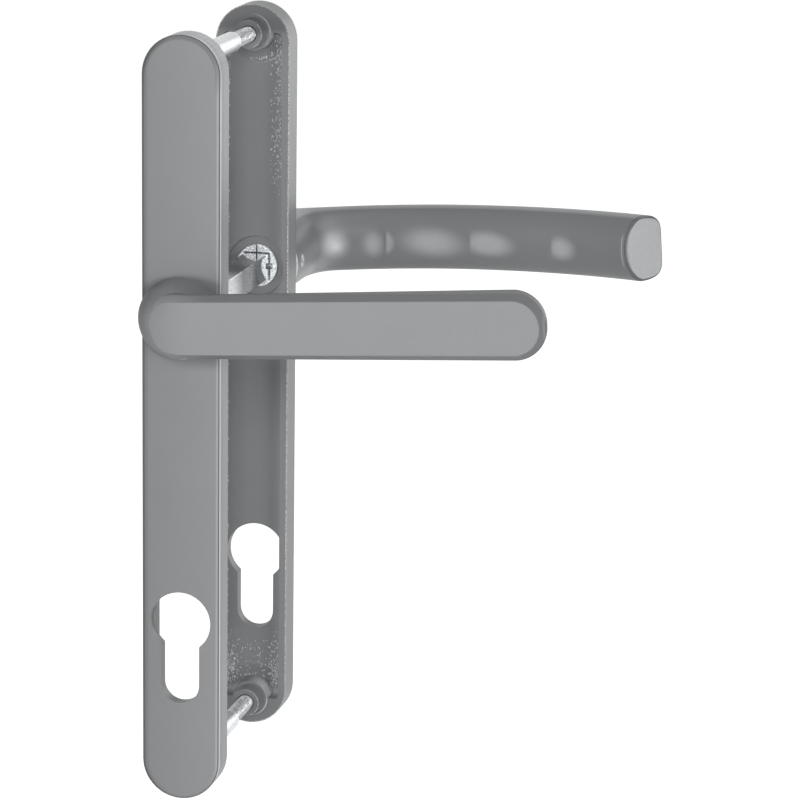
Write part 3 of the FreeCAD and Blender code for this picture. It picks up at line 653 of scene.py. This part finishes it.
def arched_lever_detail(g, place, tone):
    """Painted highlights in the finger hollows on the door side, with more grain, painted light and
    shade round the bend, neck and cut, and a paler cut face.
    """
    fields = g.fields(place)
    grain = g.span(g.noise(place, *GRIP_GRAIN), *GRIP_GRAIN_TONE)
    off_apex = g.math("SUBTRACT", fields["x"], ARCH_APEX[0])
    bow = g.math("MULTIPLY", g.math("MULTIPLY", off_apex, off_apex), 0.5 / ARCH_RADII[1])
    middle = FACE_Y + ARCH_APEX[1]
    fields["inward"] = g.slope(
        g.math("ADD", fields["y"], bow), *(middle + limit for limit in INWARD_LIMITS))
    # painted highlight in each finger hollow, on the door side, broken by grain
    for x, z, half_x, half_z, _, bright, level, start in FINGERS:
        factors = [g.mask(fields, ("blob", x, z, half_x * FINGER_SHINE, half_z, level))]
        if start > 0.0:
            near, far = (start + offset for offset in FINGER_END)
            factors.append(g.slope(fields["x"], near, far, True))
        tone = g.gain(tone, g.product([*factors, fields["inward"], grain]), bright)
    tone = g.lay_rows(tone, fields, ARCH_PAINTED_LIGHT)

    fields = g.fields(g.turned(place, LEVER_TILT))
    c, s = math.cos(ARCH_CUT_ANGLE), math.sin(ARCH_CUT_ANGLE)
    plane = ARCH_CUT[0] * c - (ARCH_CUT[1] + FACE_Y) * s
    away = g.math("MULTIPLY", fields["x"], c)
    back = g.math("MULTIPLY", fields["y"], s)
    fields["face"] = g.math("SUBTRACT", g.math("SUBTRACT", away, back), plane)
    fields["sum"] = g.math("ADD", fields["x"], fields["y"])
    fields["cut"] = g.math("ADD", fields["face"], g.span(fields["sum"], *CUT_SLACK))
    fields["grain"] = grain
    return g.lay_rows(tone, fields, ARCH_CUT_PAINTED_LIGHT)


def screw_detail(g, place, tone, gloss):
    """Painted shade in the thread roots, which are also duller than the crests."""
    fields = g.fields(place)
    upper, lower = (g.length(fields["x"], g.math("SUBTRACT", fields["z"], z)) for z in FIXINGS)
    root = g.slope(g.math("MINIMUM", upper, lower), *THREAD_ROOT)
    return g.gain(tone, root, ROOT_SHADE), g.gain(gloss, root, ROOT_DULL)


def sleeve_detail(g, place, tone, gloss):
    """Painted highlight on the rim at the open end, and a faint broken dark line along the tube."""
    fields = g.fields(place)
    tone = g.lay_rows(tone, fields, SLEEVE_PAINTED_LIGHT)
    # a faint broken dark line along the tube
    line_breaks = g.slope(g.noise(place, *SLEEVE_LINE_NOISE), *SLEEVE_LINE_RANGE)
    low, high, soft = SLEEVE_LINE_BAND
    for z in FIXINGS:
        along = g.band(fields["z"], z + low, z + high, soft)
        tone = g.gain(tone, g.math("MULTIPLY", along, line_breaks), SLEEVE_LINE_GAIN)
    return tone, gloss


def polished_end(g, place):
    """Nothing to one towards the inner end of the bar, smooth enough there to mirror the hub."""
    uneven = g.math("SUBTRACT", g.noise(place, *POLISH), 0.5)
    along = g.math("ADD", g.fields(place)["y"], g.math("MULTIPLY", uneven, POLISHED_SPREAD))
    return g.slope(along, *POLISHED_SPAN, True)


def spindle_relief(g, place):
    """Grain of the bar, fading out at its polished end."""
    return g.math("SUBTRACT", 1.0, polished_end(g, place))


def spindle_detail(g, place, tone, gloss):
    """Painted highlight on the long edges of the square bar, painted light on its top face and
    painted shade towards its inner end, which is polished.
    """
    fields = g.fields(place)
    nearer = g.math("MINIMUM", g.math("ABSOLUTE", fields["x"]), g.math("ABSOLUTE", fields["z"]))
    fields["edge"] = g.slope(nearer, *SPINDLE_EDGE)
    fields["mirror"] = polished_end(g, place)
    fields["top_share"] = g.span(fields["y"], *SPINDLE_TOP)
    tone = g.math("MINIMUM", g.lay_rows(tone, fields, SPINDLE_POLISH_AND_PAINTED_LIGHT), SPINDLE_BRIGHTEST)
    return tone, g.lay_rows(gloss, fields, SPINDLE_GLOSS)


def hub_detail(g, place, tone, gloss):
    """Turned face with painted light towards its free side, and a polished rim."""
    fields = g.fields(place)
    fields["ring"] = g.length(fields["x"], fields["z"])
    return g.lay_rows(tone, fields, HUB_PAINTED_LIGHT_AND_POLISH), gloss


def ring_detail(g, place, tone):
    """Painted shade on the slide ring above its middle."""
    return g.lay_rows(tone, g.fields(place), RING_PAINTED_SHADE)


def dress(material, *names):
    for name in names:
        slots = nodes[name].data.materials
        slots.clear()
        slots.append(material)


def finish_mesh(mesh, material, sharp):
    mesh.polygons.foreach_set("use_smooth", [True] * len(mesh.polygons))
    mesh.set_sharp_from_angle(angle=math.radians(sharp))
    if material is not None:
        mesh.materials.clear()
        mesh.materials.append(material)


def new_object(name, points, faces, material=None, sharp=SHARP):
    """Mesh object from points in millimetres."""
    mesh = bpy.data.meshes.new(name)
    mesh.from_pydata([tuple(value * MM for value in point) for point in points], [], faces)
    mesh.validate()
    made = bpy.data.objects.new(name, mesh)
    scene.collection.objects.link(made)
    finish_mesh(mesh, material, sharp)
    return made


def cut_away(piece, cutters, material, sharp=SHARP):
    """Take the cutters out of a piece, and remove them."""
    for cutter in cutters:
        step = piece.modifiers.new("cut", "BOOLEAN")
        step.operation = "DIFFERENCE"
        step.solver = "EXACT"
        step.object = cutter
    graph = bpy.context.evaluated_depsgraph_get()
    mesh = bpy.data.meshes.new_from_object(piece.evaluated_get(graph))
    piece.modifiers.clear()
    piece.data = mesh
    for cutter in cutters:
        bpy.data.objects.remove(cutter, do_unlink=True)
    finish_mesh(mesh, material, sharp)


def bar(name, radius, start, end, sides):
    """Prism between two points, for use as a cutter."""
    start, end = Vector(start), Vector(end)
    axis = (end - start).normalized()
    side = axis.orthogonal().normalized()
    up = axis.cross(side)
    points = []
    for centre in (start, end):
        for i in range(sides):
            angle = 2.0 * math.pi * i / sides
            points.append(centre + (side * math.cos(angle) + up * math.sin(angle)) * radius)
    faces = [(i, (i + 1) % sides, sides + (i + 1) % sides, sides + i) for i in range(sides)]
    faces.append(tuple(reversed(range(sides))))
    faces.append(tuple(range(sides, 2 * sides)))
    return new_object(name, points, faces)


def rings_mesh(rings):
    """Points and faces of a closed tube of equal rings, with a flat cap at each end."""
    count = len(rings[0])
    points = [point for ring in rings for point in ring]
    faces = []
    for row in range(len(rings) - 1):
        for i in range(count):
            j = (i + 1) % count
            a = row * count
            faces.append((a + i, a + j, a + count + j, a + count + i))
    faces.append(tuple(reversed(range(count))))
    last = (len(rings) - 1) * count
    faces.append(tuple(range(last, last + count)))
    return points, faces


def smooth_step(value):
    value = min(max(value, 0.0), 1.0)
    return value * value * (3.0 - 2.0 * value)


def onset(value, start, length):
    """Soft share of the way that a value has gone past a start, over a length."""
    return smooth_step((value - start) / length)


def arch_point(turn):
    """Point of the arch where its direction is so far below level."""
    near, far = ARCH_RADII
    first = min(turn, ARCH_NEAR_TURN)
    x = ARCH_APEX[0] + near * math.sin(first)
    p = ARCH_APEX[1] - near * (1.0 - math.cos(first))
    if turn > ARCH_NEAR_TURN:
        x += far * (math.sin(turn) - math.sin(ARCH_NEAR_TURN))
        p -= far * (math.cos(ARCH_NEAR_TURN) - math.cos(turn))
    return x, p


# The bend between the neck and the arch
BEND_END = arch_point(-ARCH_START_TURN)
BEND_RADIUS = BEND_END[0] / (1.0 - math.sin(ARCH_START_TURN))
BEND_START_P = BEND_END[1] - BEND_RADIUS * math.cos(ARCH_START_TURN)


def lever_path(s):
    """Place, direction below level, and share of the grip's section, at a length along the path."""
    neck = BEND_START_P - ARCH_FOOT
    bend = BEND_RADIUS * (math.pi / 2.0 - ARCH_START_TURN)
    if s <= neck:
        return 0.0, ARCH_FOOT + s, -math.pi / 2.0, 0.0
    if s <= neck + bend:
        above = math.pi / 2.0 - (s - neck) / BEND_RADIUS
        x = BEND_END[0] + BEND_RADIUS * (math.sin(ARCH_START_TURN) - math.sin(above))
        p = BEND_END[1] - BEND_RADIUS * (math.cos(ARCH_START_TURN) - math.cos(above))
        return x, p, -above, smooth_step((s - neck) / bend)
    rest = s - neck - bend
    near = ARCH_RADII[0] * (ARCH_NEAR_TURN + ARCH_START_TURN)
    if rest <= near:
        turn = rest / ARCH_RADII[0] - ARCH_START_TURN
    else:
        turn = ARCH_NEAR_TURN + (rest - near) / ARCH_RADII[1]
    x, p = arch_point(turn)
    return x, p, turn, 1.0


def arc_poles(radius, start, end):
    """Poles of a cubic curve along an arc."""
    handle = 4.0 / 3.0 * math.tan((end - start) / 4.0) * radius
    c0, s0, c1, s1 = math.cos(start), math.sin(start), math.cos(end), math.sin(end)
    return [
        (radius * c0, radius * s0),
        (radius * c0 - handle * s0, radius * s0 + handle * c0),
        (radius * c1 + handle * s1, radius * s1 - handle * c1),
        (radius * c1, radius * s1),
    ]


def round_section():
    quarters = [math.pi / 2.0, math.pi, 1.5 * math.pi]
    turns = [-NECK_CORNER, NECK_CORNER, *quarters, 2.0 * math.pi - NECK_CORNER]
    return [arc_poles(ARCH_NECK_RADIUS, a, b) for a, b in zip(turns[:-1], turns[1:])]


def grip_section():
    front, tall, deep, half = SECTION_FRONT, SECTION_TALL, SECTION_DEEP, SECTION_FACET
    upper = [(front, half), (front, SECTION_CORNER), (SECTION_SHOULDER, tall), (0.0, tall)]
    handle = QUARTER_HANDLE
    back = [(0.0, tall), (-handle * deep, tall), (-deep, handle * tall), (-deep, 0.0)]
    return [
        [(front, -half), (front, -half / 3.0), (front, half / 3.0), (front, half)],
        upper,
        back,
        [(a, -b) for a, b in reversed(back)],
        [(a, -b) for a, b in reversed(upper)],
    ]


def section_points(share):
    """Ring of (outward, height) for a section between round and grip."""
    ring = []
    for first, second, count in zip(round_section(), grip_section(), POINTS_PER_STRIP):
        poles = [tuple(a + (b - a) * share for a, b in zip(p, q)) for p, q in zip(first, second)]
        for i in range(count):
            t = i / count
            weights = ((1 - t) ** 3, 3 * t * (1 - t) ** 2, 3 * t * t * (1 - t), t ** 3)
            ring.append(tuple(
                sum(w * pole[k] for w, pole in zip(weights, poles)) for k in (0, 1)))
    return ring


def ring_normals(ring):
    made = []
    for i in range(len(ring)):
        a, b = ring[i - 1], ring[(i + 1) % len(ring)]
        size = math.hypot(b[0] - a[0], b[1] - a[1])
        made.append(((b[1] - a[1]) / size, (a[0] - b[0]) / size))
    return made


def lever_place(s, a, b):
    x, p, turn, _ = lever_path(s)
    return Vector((x + math.sin(turn) * a, p + math.cos(turn) * a, b))


def length_to_cut(a):
    """Length along the path at which a line of the lever meets the slanting cut."""
    low, high = CUT_SEARCH
    for _ in range(CUT_SEARCH_STEPS):
        middle = (low + high) / 2.0
        at = lever_place(middle, a, 0.0)
        inside = (at.x - ARCH_CUT[0]) * math.cos(ARCH_CUT_ANGLE)
        beyond = inside - (at.y - ARCH_CUT[1]) * math.sin(ARCH_CUT_ANGLE)
        if beyond < 0.0:
            low = middle
        else:
            high = middle
    return low


def tilted(point):
    """A point of the level lever in the frame: tilted, and moved to the inner plate's face."""
    c, s = math.cos(LEVER_TILT), math.sin(LEVER_TILT)
    return Vector((point.x * c - point.z * s, point.y + FACE_Y, point.x * s + point.z * c))


def pressed(point, outward, a):
    """A tilted point of the lever's skin, pressed in where a finger lies."""
    side = onset(-a, *FINGER_FROM)
    if side == 0.0:
        return point
    depth = 0.0
    for x, z, half_x, half_z, deep, *_ in FINGERS:
        away = math.hypot((point.x - x) / half_x, (point.z - z) / half_z)
        depth += deep * smooth_step(1.0 - away * FINGER_SPREAD)
    return point + outward * (depth * side)


def eased(rings):
    """Rings with the tight inside of the bend drawn out into a soft hollow."""
    first, last = EASE_ROWS
    for column, (a, _) in enumerate(section_points(1.0)):
        weight = onset(-a, *EASE_FROM)
        if weight == 0.0:
            continue
        line = [ring[column] for ring in rings[first:last]]
        for _ in range(EASE_STEPS):
            middle = [(line[i - 1] + line[i + 1]) * 0.5 for i in range(1, len(line) - 1)]
            inner = [old.lerp(new, weight) for old, new in zip(line[1:-1], middle)]
            line = [line[0], *inner, line[-1]]
        for ring, point in zip(rings[first:last], line):
            ring[column] = point
    return rings


def lever_rows():
    """Rows of (length along the path, outward, height), from the neck to the cut's rounded edge."""
    grip = section_points(1.0)
    ends = [length_to_cut(a) for a, _ in grip]
    rows = []
    count = int(EVEN_LENGTH / EVEN_STEP)
    for i in range(count + 1):
        s = EVEN_LENGTH * i / count
        rows.append([(s, a, b) for a, b in section_points(lever_path(s)[3])])
    for i in range(1, LEANING_RINGS + 1):
        part = i / LEANING_RINGS
        rows.append([
            (EVEN_LENGTH + (end - ARCH_CUT_ROUND - EVEN_LENGTH) * part, a, b)
            for end, (a, b) in zip(ends, grip)])
    for i in range(1, ROUNDING_RINGS + 1):
        angle = math.pi / 2.0 * i / ROUNDING_RINGS
        back = ARCH_CUT_ROUND * (1.0 - math.sin(angle))
        inward = ARCH_CUT_ROUND * (1.0 - math.cos(angle))
        ring = [
            (a - na * inward, b - nb * inward)
            for (a, b), (na, nb) in zip(grip, ring_normals(grip))]
        rows.append([(length_to_cut(a) - back, a, b) for a, b in ring])
    return rows


def lever_rings():
    rows = lever_rows()
    smooth = eased([[tilted(lever_place(s, a, b)) for s, a, b in row] for row in rows])
    origin = tilted(Vector((0.0, 0.0, 0.0)))
    made = []
    for row, places in zip(rows, smooth):
        ring = []
        for (s, a, _), place in zip(row, places):
            turn = lever_path(s)[2]
            outward = tilted(Vector((math.sin(turn), math.cos(turn), 0.0))) - origin
            ring.append(pressed(place, outward, a))
        made.append(ring)
    return made


def arched_lever(material):
    points, faces = rings_mesh(lever_rings())
    piece = new_object("arched_lever", points, faces, material)
    bore_end = (0, FACE_Y + HUB_IN_NECK, 0)
    bore_start = (0, FACE_Y - CUTTER_OUT, 0)
    bore = bar("bore", HUB_RADIUS + CUTTER_PLAY, bore_start, bore_end, BORE_SIDES)
    hole_start = (0, FACE_Y + GRUB_HEIGHT, 0)
    hole_end = (GRUB_REACH, FACE_Y + GRUB_HEIGHT, 0)
    hole = bar("hole", GRUB_RADIUS + CUTTER_PLAY, hole_start, hole_end, HOLE_SIDES)
    cut_away(piece, [bore, hole], material)
    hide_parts("inner_lever")
    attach(piece, "inner_handle")


def screw_radius(y, angle):
    """Radius of the screw's shank: a rolled thread where it shows, plain elsewhere."""
    start, end = THREAD_SPAN
    strength = smooth_step((y - start) / THREAD_PITCH) * smooth_step((end - y) / THREAD_PITCH)
    phase = (y / THREAD_PITCH + angle / (2.0 * math.pi)) % 1.0
    steep, crest = THREAD_FLANK
    flank = min(max(abs(2.0 * phase - 1.0) * steep - crest, 0.0), 1.0)
    return SCREW_RADIUS - SCREW_PLAY - THREAD_DEPTH * flank * strength


def threaded_screw(name, node, z, material):
    """Screw through a boss of the inner plate, with its tip in a sleeve and a socket in its head."""
    thread_rows = int((THREAD_SPAN[1] - THREAD_SPAN[0]) / THREAD_STEP)
    heights = [SCREW_TIP + SCREW_BEVEL + SHANK_STEP * i for i in range(SHANK_ROWS)]
    heights += [THREAD_SPAN[0] + THREAD_STEP * i for i in range(thread_rows + 1)]
    heights += [*SHANK_TOP_ROWS, FACE_Y - SCREW_HEAD_DEPTH]
    profile = [(SCREW_TIP, SCREW_RADIUS - SCREW_BEVEL)]
    profile += [(y, None) for y in heights]
    profile += [(FACE_Y - deep, SCREW_HEAD_RADIUS - inset) for deep, inset in SCREW_HEAD_ROWS]
    rings = []
    for y, plain_radius in profile:
        ring = []
        for i in range(SCREW_SIDES):
            angle = 2.0 * math.pi * i / SCREW_SIDES
            r = screw_radius(y, angle) if plain_radius is None else plain_radius
            ring.append((r * math.cos(angle), y, z - r * math.sin(angle)))
        rings.append(ring)
    points, faces = rings_mesh(rings)
    piece = new_object(name, points, faces, material, SHARP_SCREW)
    socket_start = (0, FACE_Y - SCREW_SOCKET_DEPTH, z)
    socket_end = (0, FACE_Y + CUTTER_OUT, z)
    socket = bar("socket", SCREW_SOCKET / math.sqrt(3.0), socket_start, socket_end, 6)
    cut_away(piece, [socket], material, SHARP_SCREW)
    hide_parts(node)
    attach(piece, "plates")


def at_least(least, share):
    """Share that starts from its least value and still ends at one."""
    return least + (1.0 - least) * share


def skin_strength(x, z):
    """How rough the hollow's cast floor is at a place, from nothing to one and a little more."""
    right_from, right_more = FOOT_RIGHT
    corners = at_least(FOOT_MIDDLE, onset(abs(x), *FOOT_CORNERS))
    foot = onset(-z, *FOOT_DOWN) * (corners + (right_more if x > right_from else 0.0))
    full = at_least(UPPER_SHARE, onset(z, *UPPER_FULL))
    upper = onset(x, *UPPER_RIGHT) * full * onset(z, *UPPER_FROM)
    side = RIGHT_WALL_SHARE * onset(x, *RIGHT_WALL)
    left = LEFT_WALL_SHARE * onset(-x, *LEFT_WALL)
    radius, half_width = BOSS_RING
    from_ring = abs(math.hypot(x, z - FIXINGS[0]) - radius)
    round_boss = smooth_step(1.0 - from_ring / half_width) * onset(x, *BOSS_RIGHT)
    return min(max(foot, upper, side, left, round_boss), ROUGHEST)


def on_floor(x, z):
    """Whether a place of the hollow's floor is solid and open to view."""
    if math.hypot(x, z) < RECESS_RADIUS + SKIN_CLEAR:
        return False
    if math.hypot(x, z - CUT_Z) < CUT_RADIUS + SKIN_CLEAR:
        return False
    if abs(x) < CUT_TAIL_HALF + SKIN_CLEAR and CUT_BOTTOM - SKIN_CLEAR < z < CUT_Z:
        return False
    return all(math.hypot(x, z - fixing) > COLLAR_RADIUS - COLLAR_OVERLAP for fixing in FIXINGS)


def skin_noise(x, z, weight, along, across, layer):
    place = (x * along[0] + z * along[1], x * across[0] + z * across[1], layer)
    return noise.noise(Vector(place)) * weight


def skin_height(x, z):
    """Height of the cast skin above its lowest level."""
    strength = skin_strength(x, z)
    low, high = HOLLOW_SPAN
    to_wall = min(HOLLOW_HALF - abs(x), high - z, z - low)
    edge = min(1.0, to_wall / SKIN_MARGIN)
    if strength <= 0.0 or edge <= 0.0:
        return 0.0
    grain = sum(skin_noise(x, z, *layer) for layer in SKIN_NOISES)
    peak = max(0.0, grain - SKIN_SUNK - SKIN_SMOOTHED * (1.0 - strength)) * SKIN_GAIN
    return SKIN_PROUD * min(peak, 1.0) * at_least(SKIN_SHARE, strength) * edge


def cast_skin(material):
    """Rough patches of the cast floor, as a thin closed skin whose peaks stand out of the floor."""
    low, high = HOLLOW_SPAN
    columns = int(2.0 * HOLLOW_HALF / SKIN_CELL)
    rows = int((high - low) / SKIN_CELL)
    active = set()
    for i in range(columns):
        for j in range(rows):
            x = -HOLLOW_HALF + (i + 0.5) * SKIN_CELL
            z = low + (j + 0.5) * SKIN_CELL
            if skin_strength(x, z) > SKIN_LEAST and on_floor(x, z):
                active.add((i, j))
    points, index, faces = [], {}, []

    def corner(i, j, top):
        key = (i, j, top)
        if key not in index:
            x = -HOLLOW_HALF + i * SKIN_CELL
            z = low + j * SKIN_CELL
            surface = HOLLOW_FLOOR + SKIN_UNDER
            y = surface - skin_height(x, z) if top else surface + SKIN_THICK
            index[key] = len(points)
            points.append((x, y, z))
        return index[key]

    around = ((0, 0), (1, 0), (1, 1), (0, 1))
    beside = ((0, -1), (1, 0), (0, 1), (-1, 0))
    for i, j in sorted(active):
        faces.append(tuple(corner(i + a, j + b, True) for a, b in around))
        faces.append(tuple(corner(i + a, j + b, False) for a, b in reversed(around)))
        for k in range(4):
            if (i + beside[k][0], j + beside[k][1]) in active:
                continue
            a, b = around[k], around[(k + 1) % 4]
            faces.append((
                corner(i + b[0], j + b[1], True), corner(i + a[0], j + a[1], True),
                corner(i + a[0], j + a[1], False), corner(i + b[0], j + b[1], False)))
    piece = new_object("cast_skin", points, faces, material, SHARP_SKIN)
    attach(piece, "plates")


def seen_directly(tree):
    """One for rays of the camera, of mirrors and of clear bodies, nothing for light on the object."""
    path = tree.nodes.new("ShaderNodeLightPath")
    seen = path.outputs["Is Camera Ray"]
    for name in ("Is Glossy Ray", "Is Transmission Ray"):
        either = tree.nodes.new("ShaderNodeMath")
        either.operation = "MAXIMUM"
        tree.links.new(seen, either.inputs[0])
        tree.links.new(path.outputs[name], either.inputs[1])
        seen = either.outputs[0]
    return seen


def floor_material():
    """White to the camera and to mirrors, with the object's shadow kept."""
    g = Graph("floor_white")
    diffuse = g.node("ShaderNodeBsdfDiffuse")
    diffuse.inputs["Color"].default_value = (FLOOR_GREY, FLOOR_GREY, FLOOR_GREY, 1.0)
    glow = g.node("ShaderNodeEmission")
    glow.inputs["Color"].default_value = WHITE
    g.link(g.math("MULTIPLY", seen_directly(g.tree), FLOOR_GLOW), glow.inputs["Strength"])
    both = g.node("ShaderNodeAddShader")
    g.link(diffuse.outputs[0], both.inputs[0])
    g.link(glow.outputs[0], both.inputs[1])
    g.link(both.outputs[0], g.out.inputs["Surface"])
    return g.material


def make_floor():
    mesh = bpy.data.meshes.new("floor")
    h = FLOOR_HALF
    corners = [(-h, -h, FLOOR_Z), (h, -h, FLOOR_Z), (h, h, FLOOR_Z), (-h, h, FLOOR_Z)]
    mesh.from_pydata(corners, [], [(0, 1, 2, 3)])
    floor = bpy.data.objects.new("floor", mesh)
    scene.collection.objects.link(floor)
    mesh.materials.append(floor_material())


def make_world():
    """Even light on the object; white where the camera or a mirror looks past it."""
    world = bpy.data.worlds.new("studio")
    scene.world = world
    world.use_nodes = True
    tree = world.node_tree
    tree.nodes.clear()
    out = tree.nodes.new("ShaderNodeOutputWorld")
    mix = tree.nodes.new("ShaderNodeMixShader")
    tree.links.new(seen_directly(tree), mix.inputs["Fac"])
    for socket, strength in zip(mix.inputs[1:], (AMBIENT, 1.0)):
        shade = tree.nodes.new("ShaderNodeBackground")
        shade.inputs["Color"].default_value = WHITE
        shade.inputs["Strength"].default_value = strength
        tree.links.new(shade.outputs[0], socket)
    tree.links.new(mix.outputs[0], out.inputs["Surface"])


def area_light(name, at, width, height, watts):
    data = bpy.data.lights.new(name, "AREA")
    data.shape = "RECTANGLE"
    data.size = width
    data.size_y = height
    data.energy = watts
    lamp = bpy.data.objects.new(name, data)
    scene.collection.objects.link(lamp)
    lamp.location = at
    lamp.rotation_euler = (LIGHT_AIM - Vector(at)).to_track_quat("-Z", "Y").to_euler()
    lamp.visible_camera = False


def make_camera():
    """Camera at the photograph's viewing angle, level but for its pitch and a trace of roll."""
    c, s = math.cos(CAMERA_YAW), math.sin(CAMERA_YAW)
    side = Vector((c, s, 0.0))
    level = Vector((-s, c, 0.0))
    ahead = level * math.cos(CAMERA_PITCH) - Vector((0, 0, 1)) * math.sin(CAMERA_PITCH)
    rise = side.cross(ahead)
    right = side * math.cos(CAMERA_ROLL) + rise * math.sin(CAMERA_ROLL)
    up = rise * math.cos(CAMERA_ROLL) - side * math.sin(CAMERA_ROLL)
    data = bpy.data.cameras.new("camera")
    data.sensor_width = SENSOR_MM
    data.lens = FOCAL_PX / IMAGE_PX * SENSOR_MM
    data.clip_start, data.clip_end = CAMERA_CLIP
    camera = bpy.data.objects.new("camera", data)
    scene.collection.objects.link(camera)
    turn = Matrix((right, up, -ahead)).transposed()
    camera.matrix_world = Matrix.Translation(CAMERA_AT) @ turn.to_4x4()
    scene.camera = camera


# Coats as (level, roughness), metals as (level, roughness, scale and depth of the grain, contrast)
# One grey coat covers both plates and both levers; the flat lever's higher level is painted light and
# the arched lever's lower level painted shade
outer_paint = coat("outer_plate_paint", 0.285, 0.42, outer_plate_detail, 0.03)
flat_paint = coat("flat_lever_paint", 0.322, 0.5, flat_lever_detail, 0.05)
arched_paint = coat("arched_lever_paint", 0.243, 0.4, arched_lever_detail, 0.04)
cast = coat("inner_plate_paint", 0.3, 0.4, inner_plate_detail, 0.04)
# The cast skin's pale level is painted highlight on the peaks of the cast floor
skin = coat("cast_skin_painted_highlight", 0.6, 0.25, None, 0.6)
clip = coat("clip_grey", 0.255, 0.42)
steel = metal("sleeve_steel", 0.64, 0.38, 1600.0, 0.00004, 0.15, sleeve_detail)
screw_steel = metal("screw_steel", 0.385, 0.3, 2200.0, 0.00008, 0.55, screw_detail)
spindle_steel = metal(
    "spindle_steel", 0.7, 0.34, 2000.0, 0.0002, 0.5, spindle_detail, spindle_relief)
hub_steel = metal("hub_steel", 0.5, 0.34, 2600.0, 0.00014, 0.75, hub_detail)
spring = metal("spring_steel", 0.17, 0.5, 1500.0, 0.00002)
grub_steel = metal("grub_steel", 0.78, 0.5, 1600.0, 0.00004, 0.15)
nylon = plain("dark_nylon", 0.13, 0.5)
# Pale slide rings, their near-white level partly their own colour and partly painted highlight for
# the bright arc at the foot of each neck
light_ring = plain("light_ring", 0.86, 0.3, ring_detail)

dress(outer_paint, "outer_backplate")
dress(flat_paint, "outer_lever")
dress(arched_paint, "inner_lever")
dress(cast, "inner_backplate")
dress(spindle_steel, "spindle")
dress(hub_steel, "inner_hub", "outer_hub")
dress(steel, "upper_sleeve", "lower_sleeve")
dress(grub_steel, "inner_grub_screw")
dress(screw_steel, "upper_screw", "lower_screw")
dress(clip, "outer_retaining_ring", "inner_retaining_ring")
dress(clip, "outer_wave_washer", "inner_wave_washer")
dress(spring, "outer_spindle_pin")
dress(nylon, "outer_bush", "inner_bush")
dress(light_ring, "outer_bearing_ring", "inner_bearing_ring")

arched_lever(arched_paint)
threaded_screw("upper_threaded_screw", "upper_screw", FIXINGS[0], screw_steel)
threaded_screw("lower_threaded_screw", "lower_screw", FIXINGS[1], screw_steel)
cast_skin(skin)

make_camera()
make_floor()
make_world()
for light in LIGHTS:
    area_light(*light)
scene.view_settings.view_transform = "Standard"
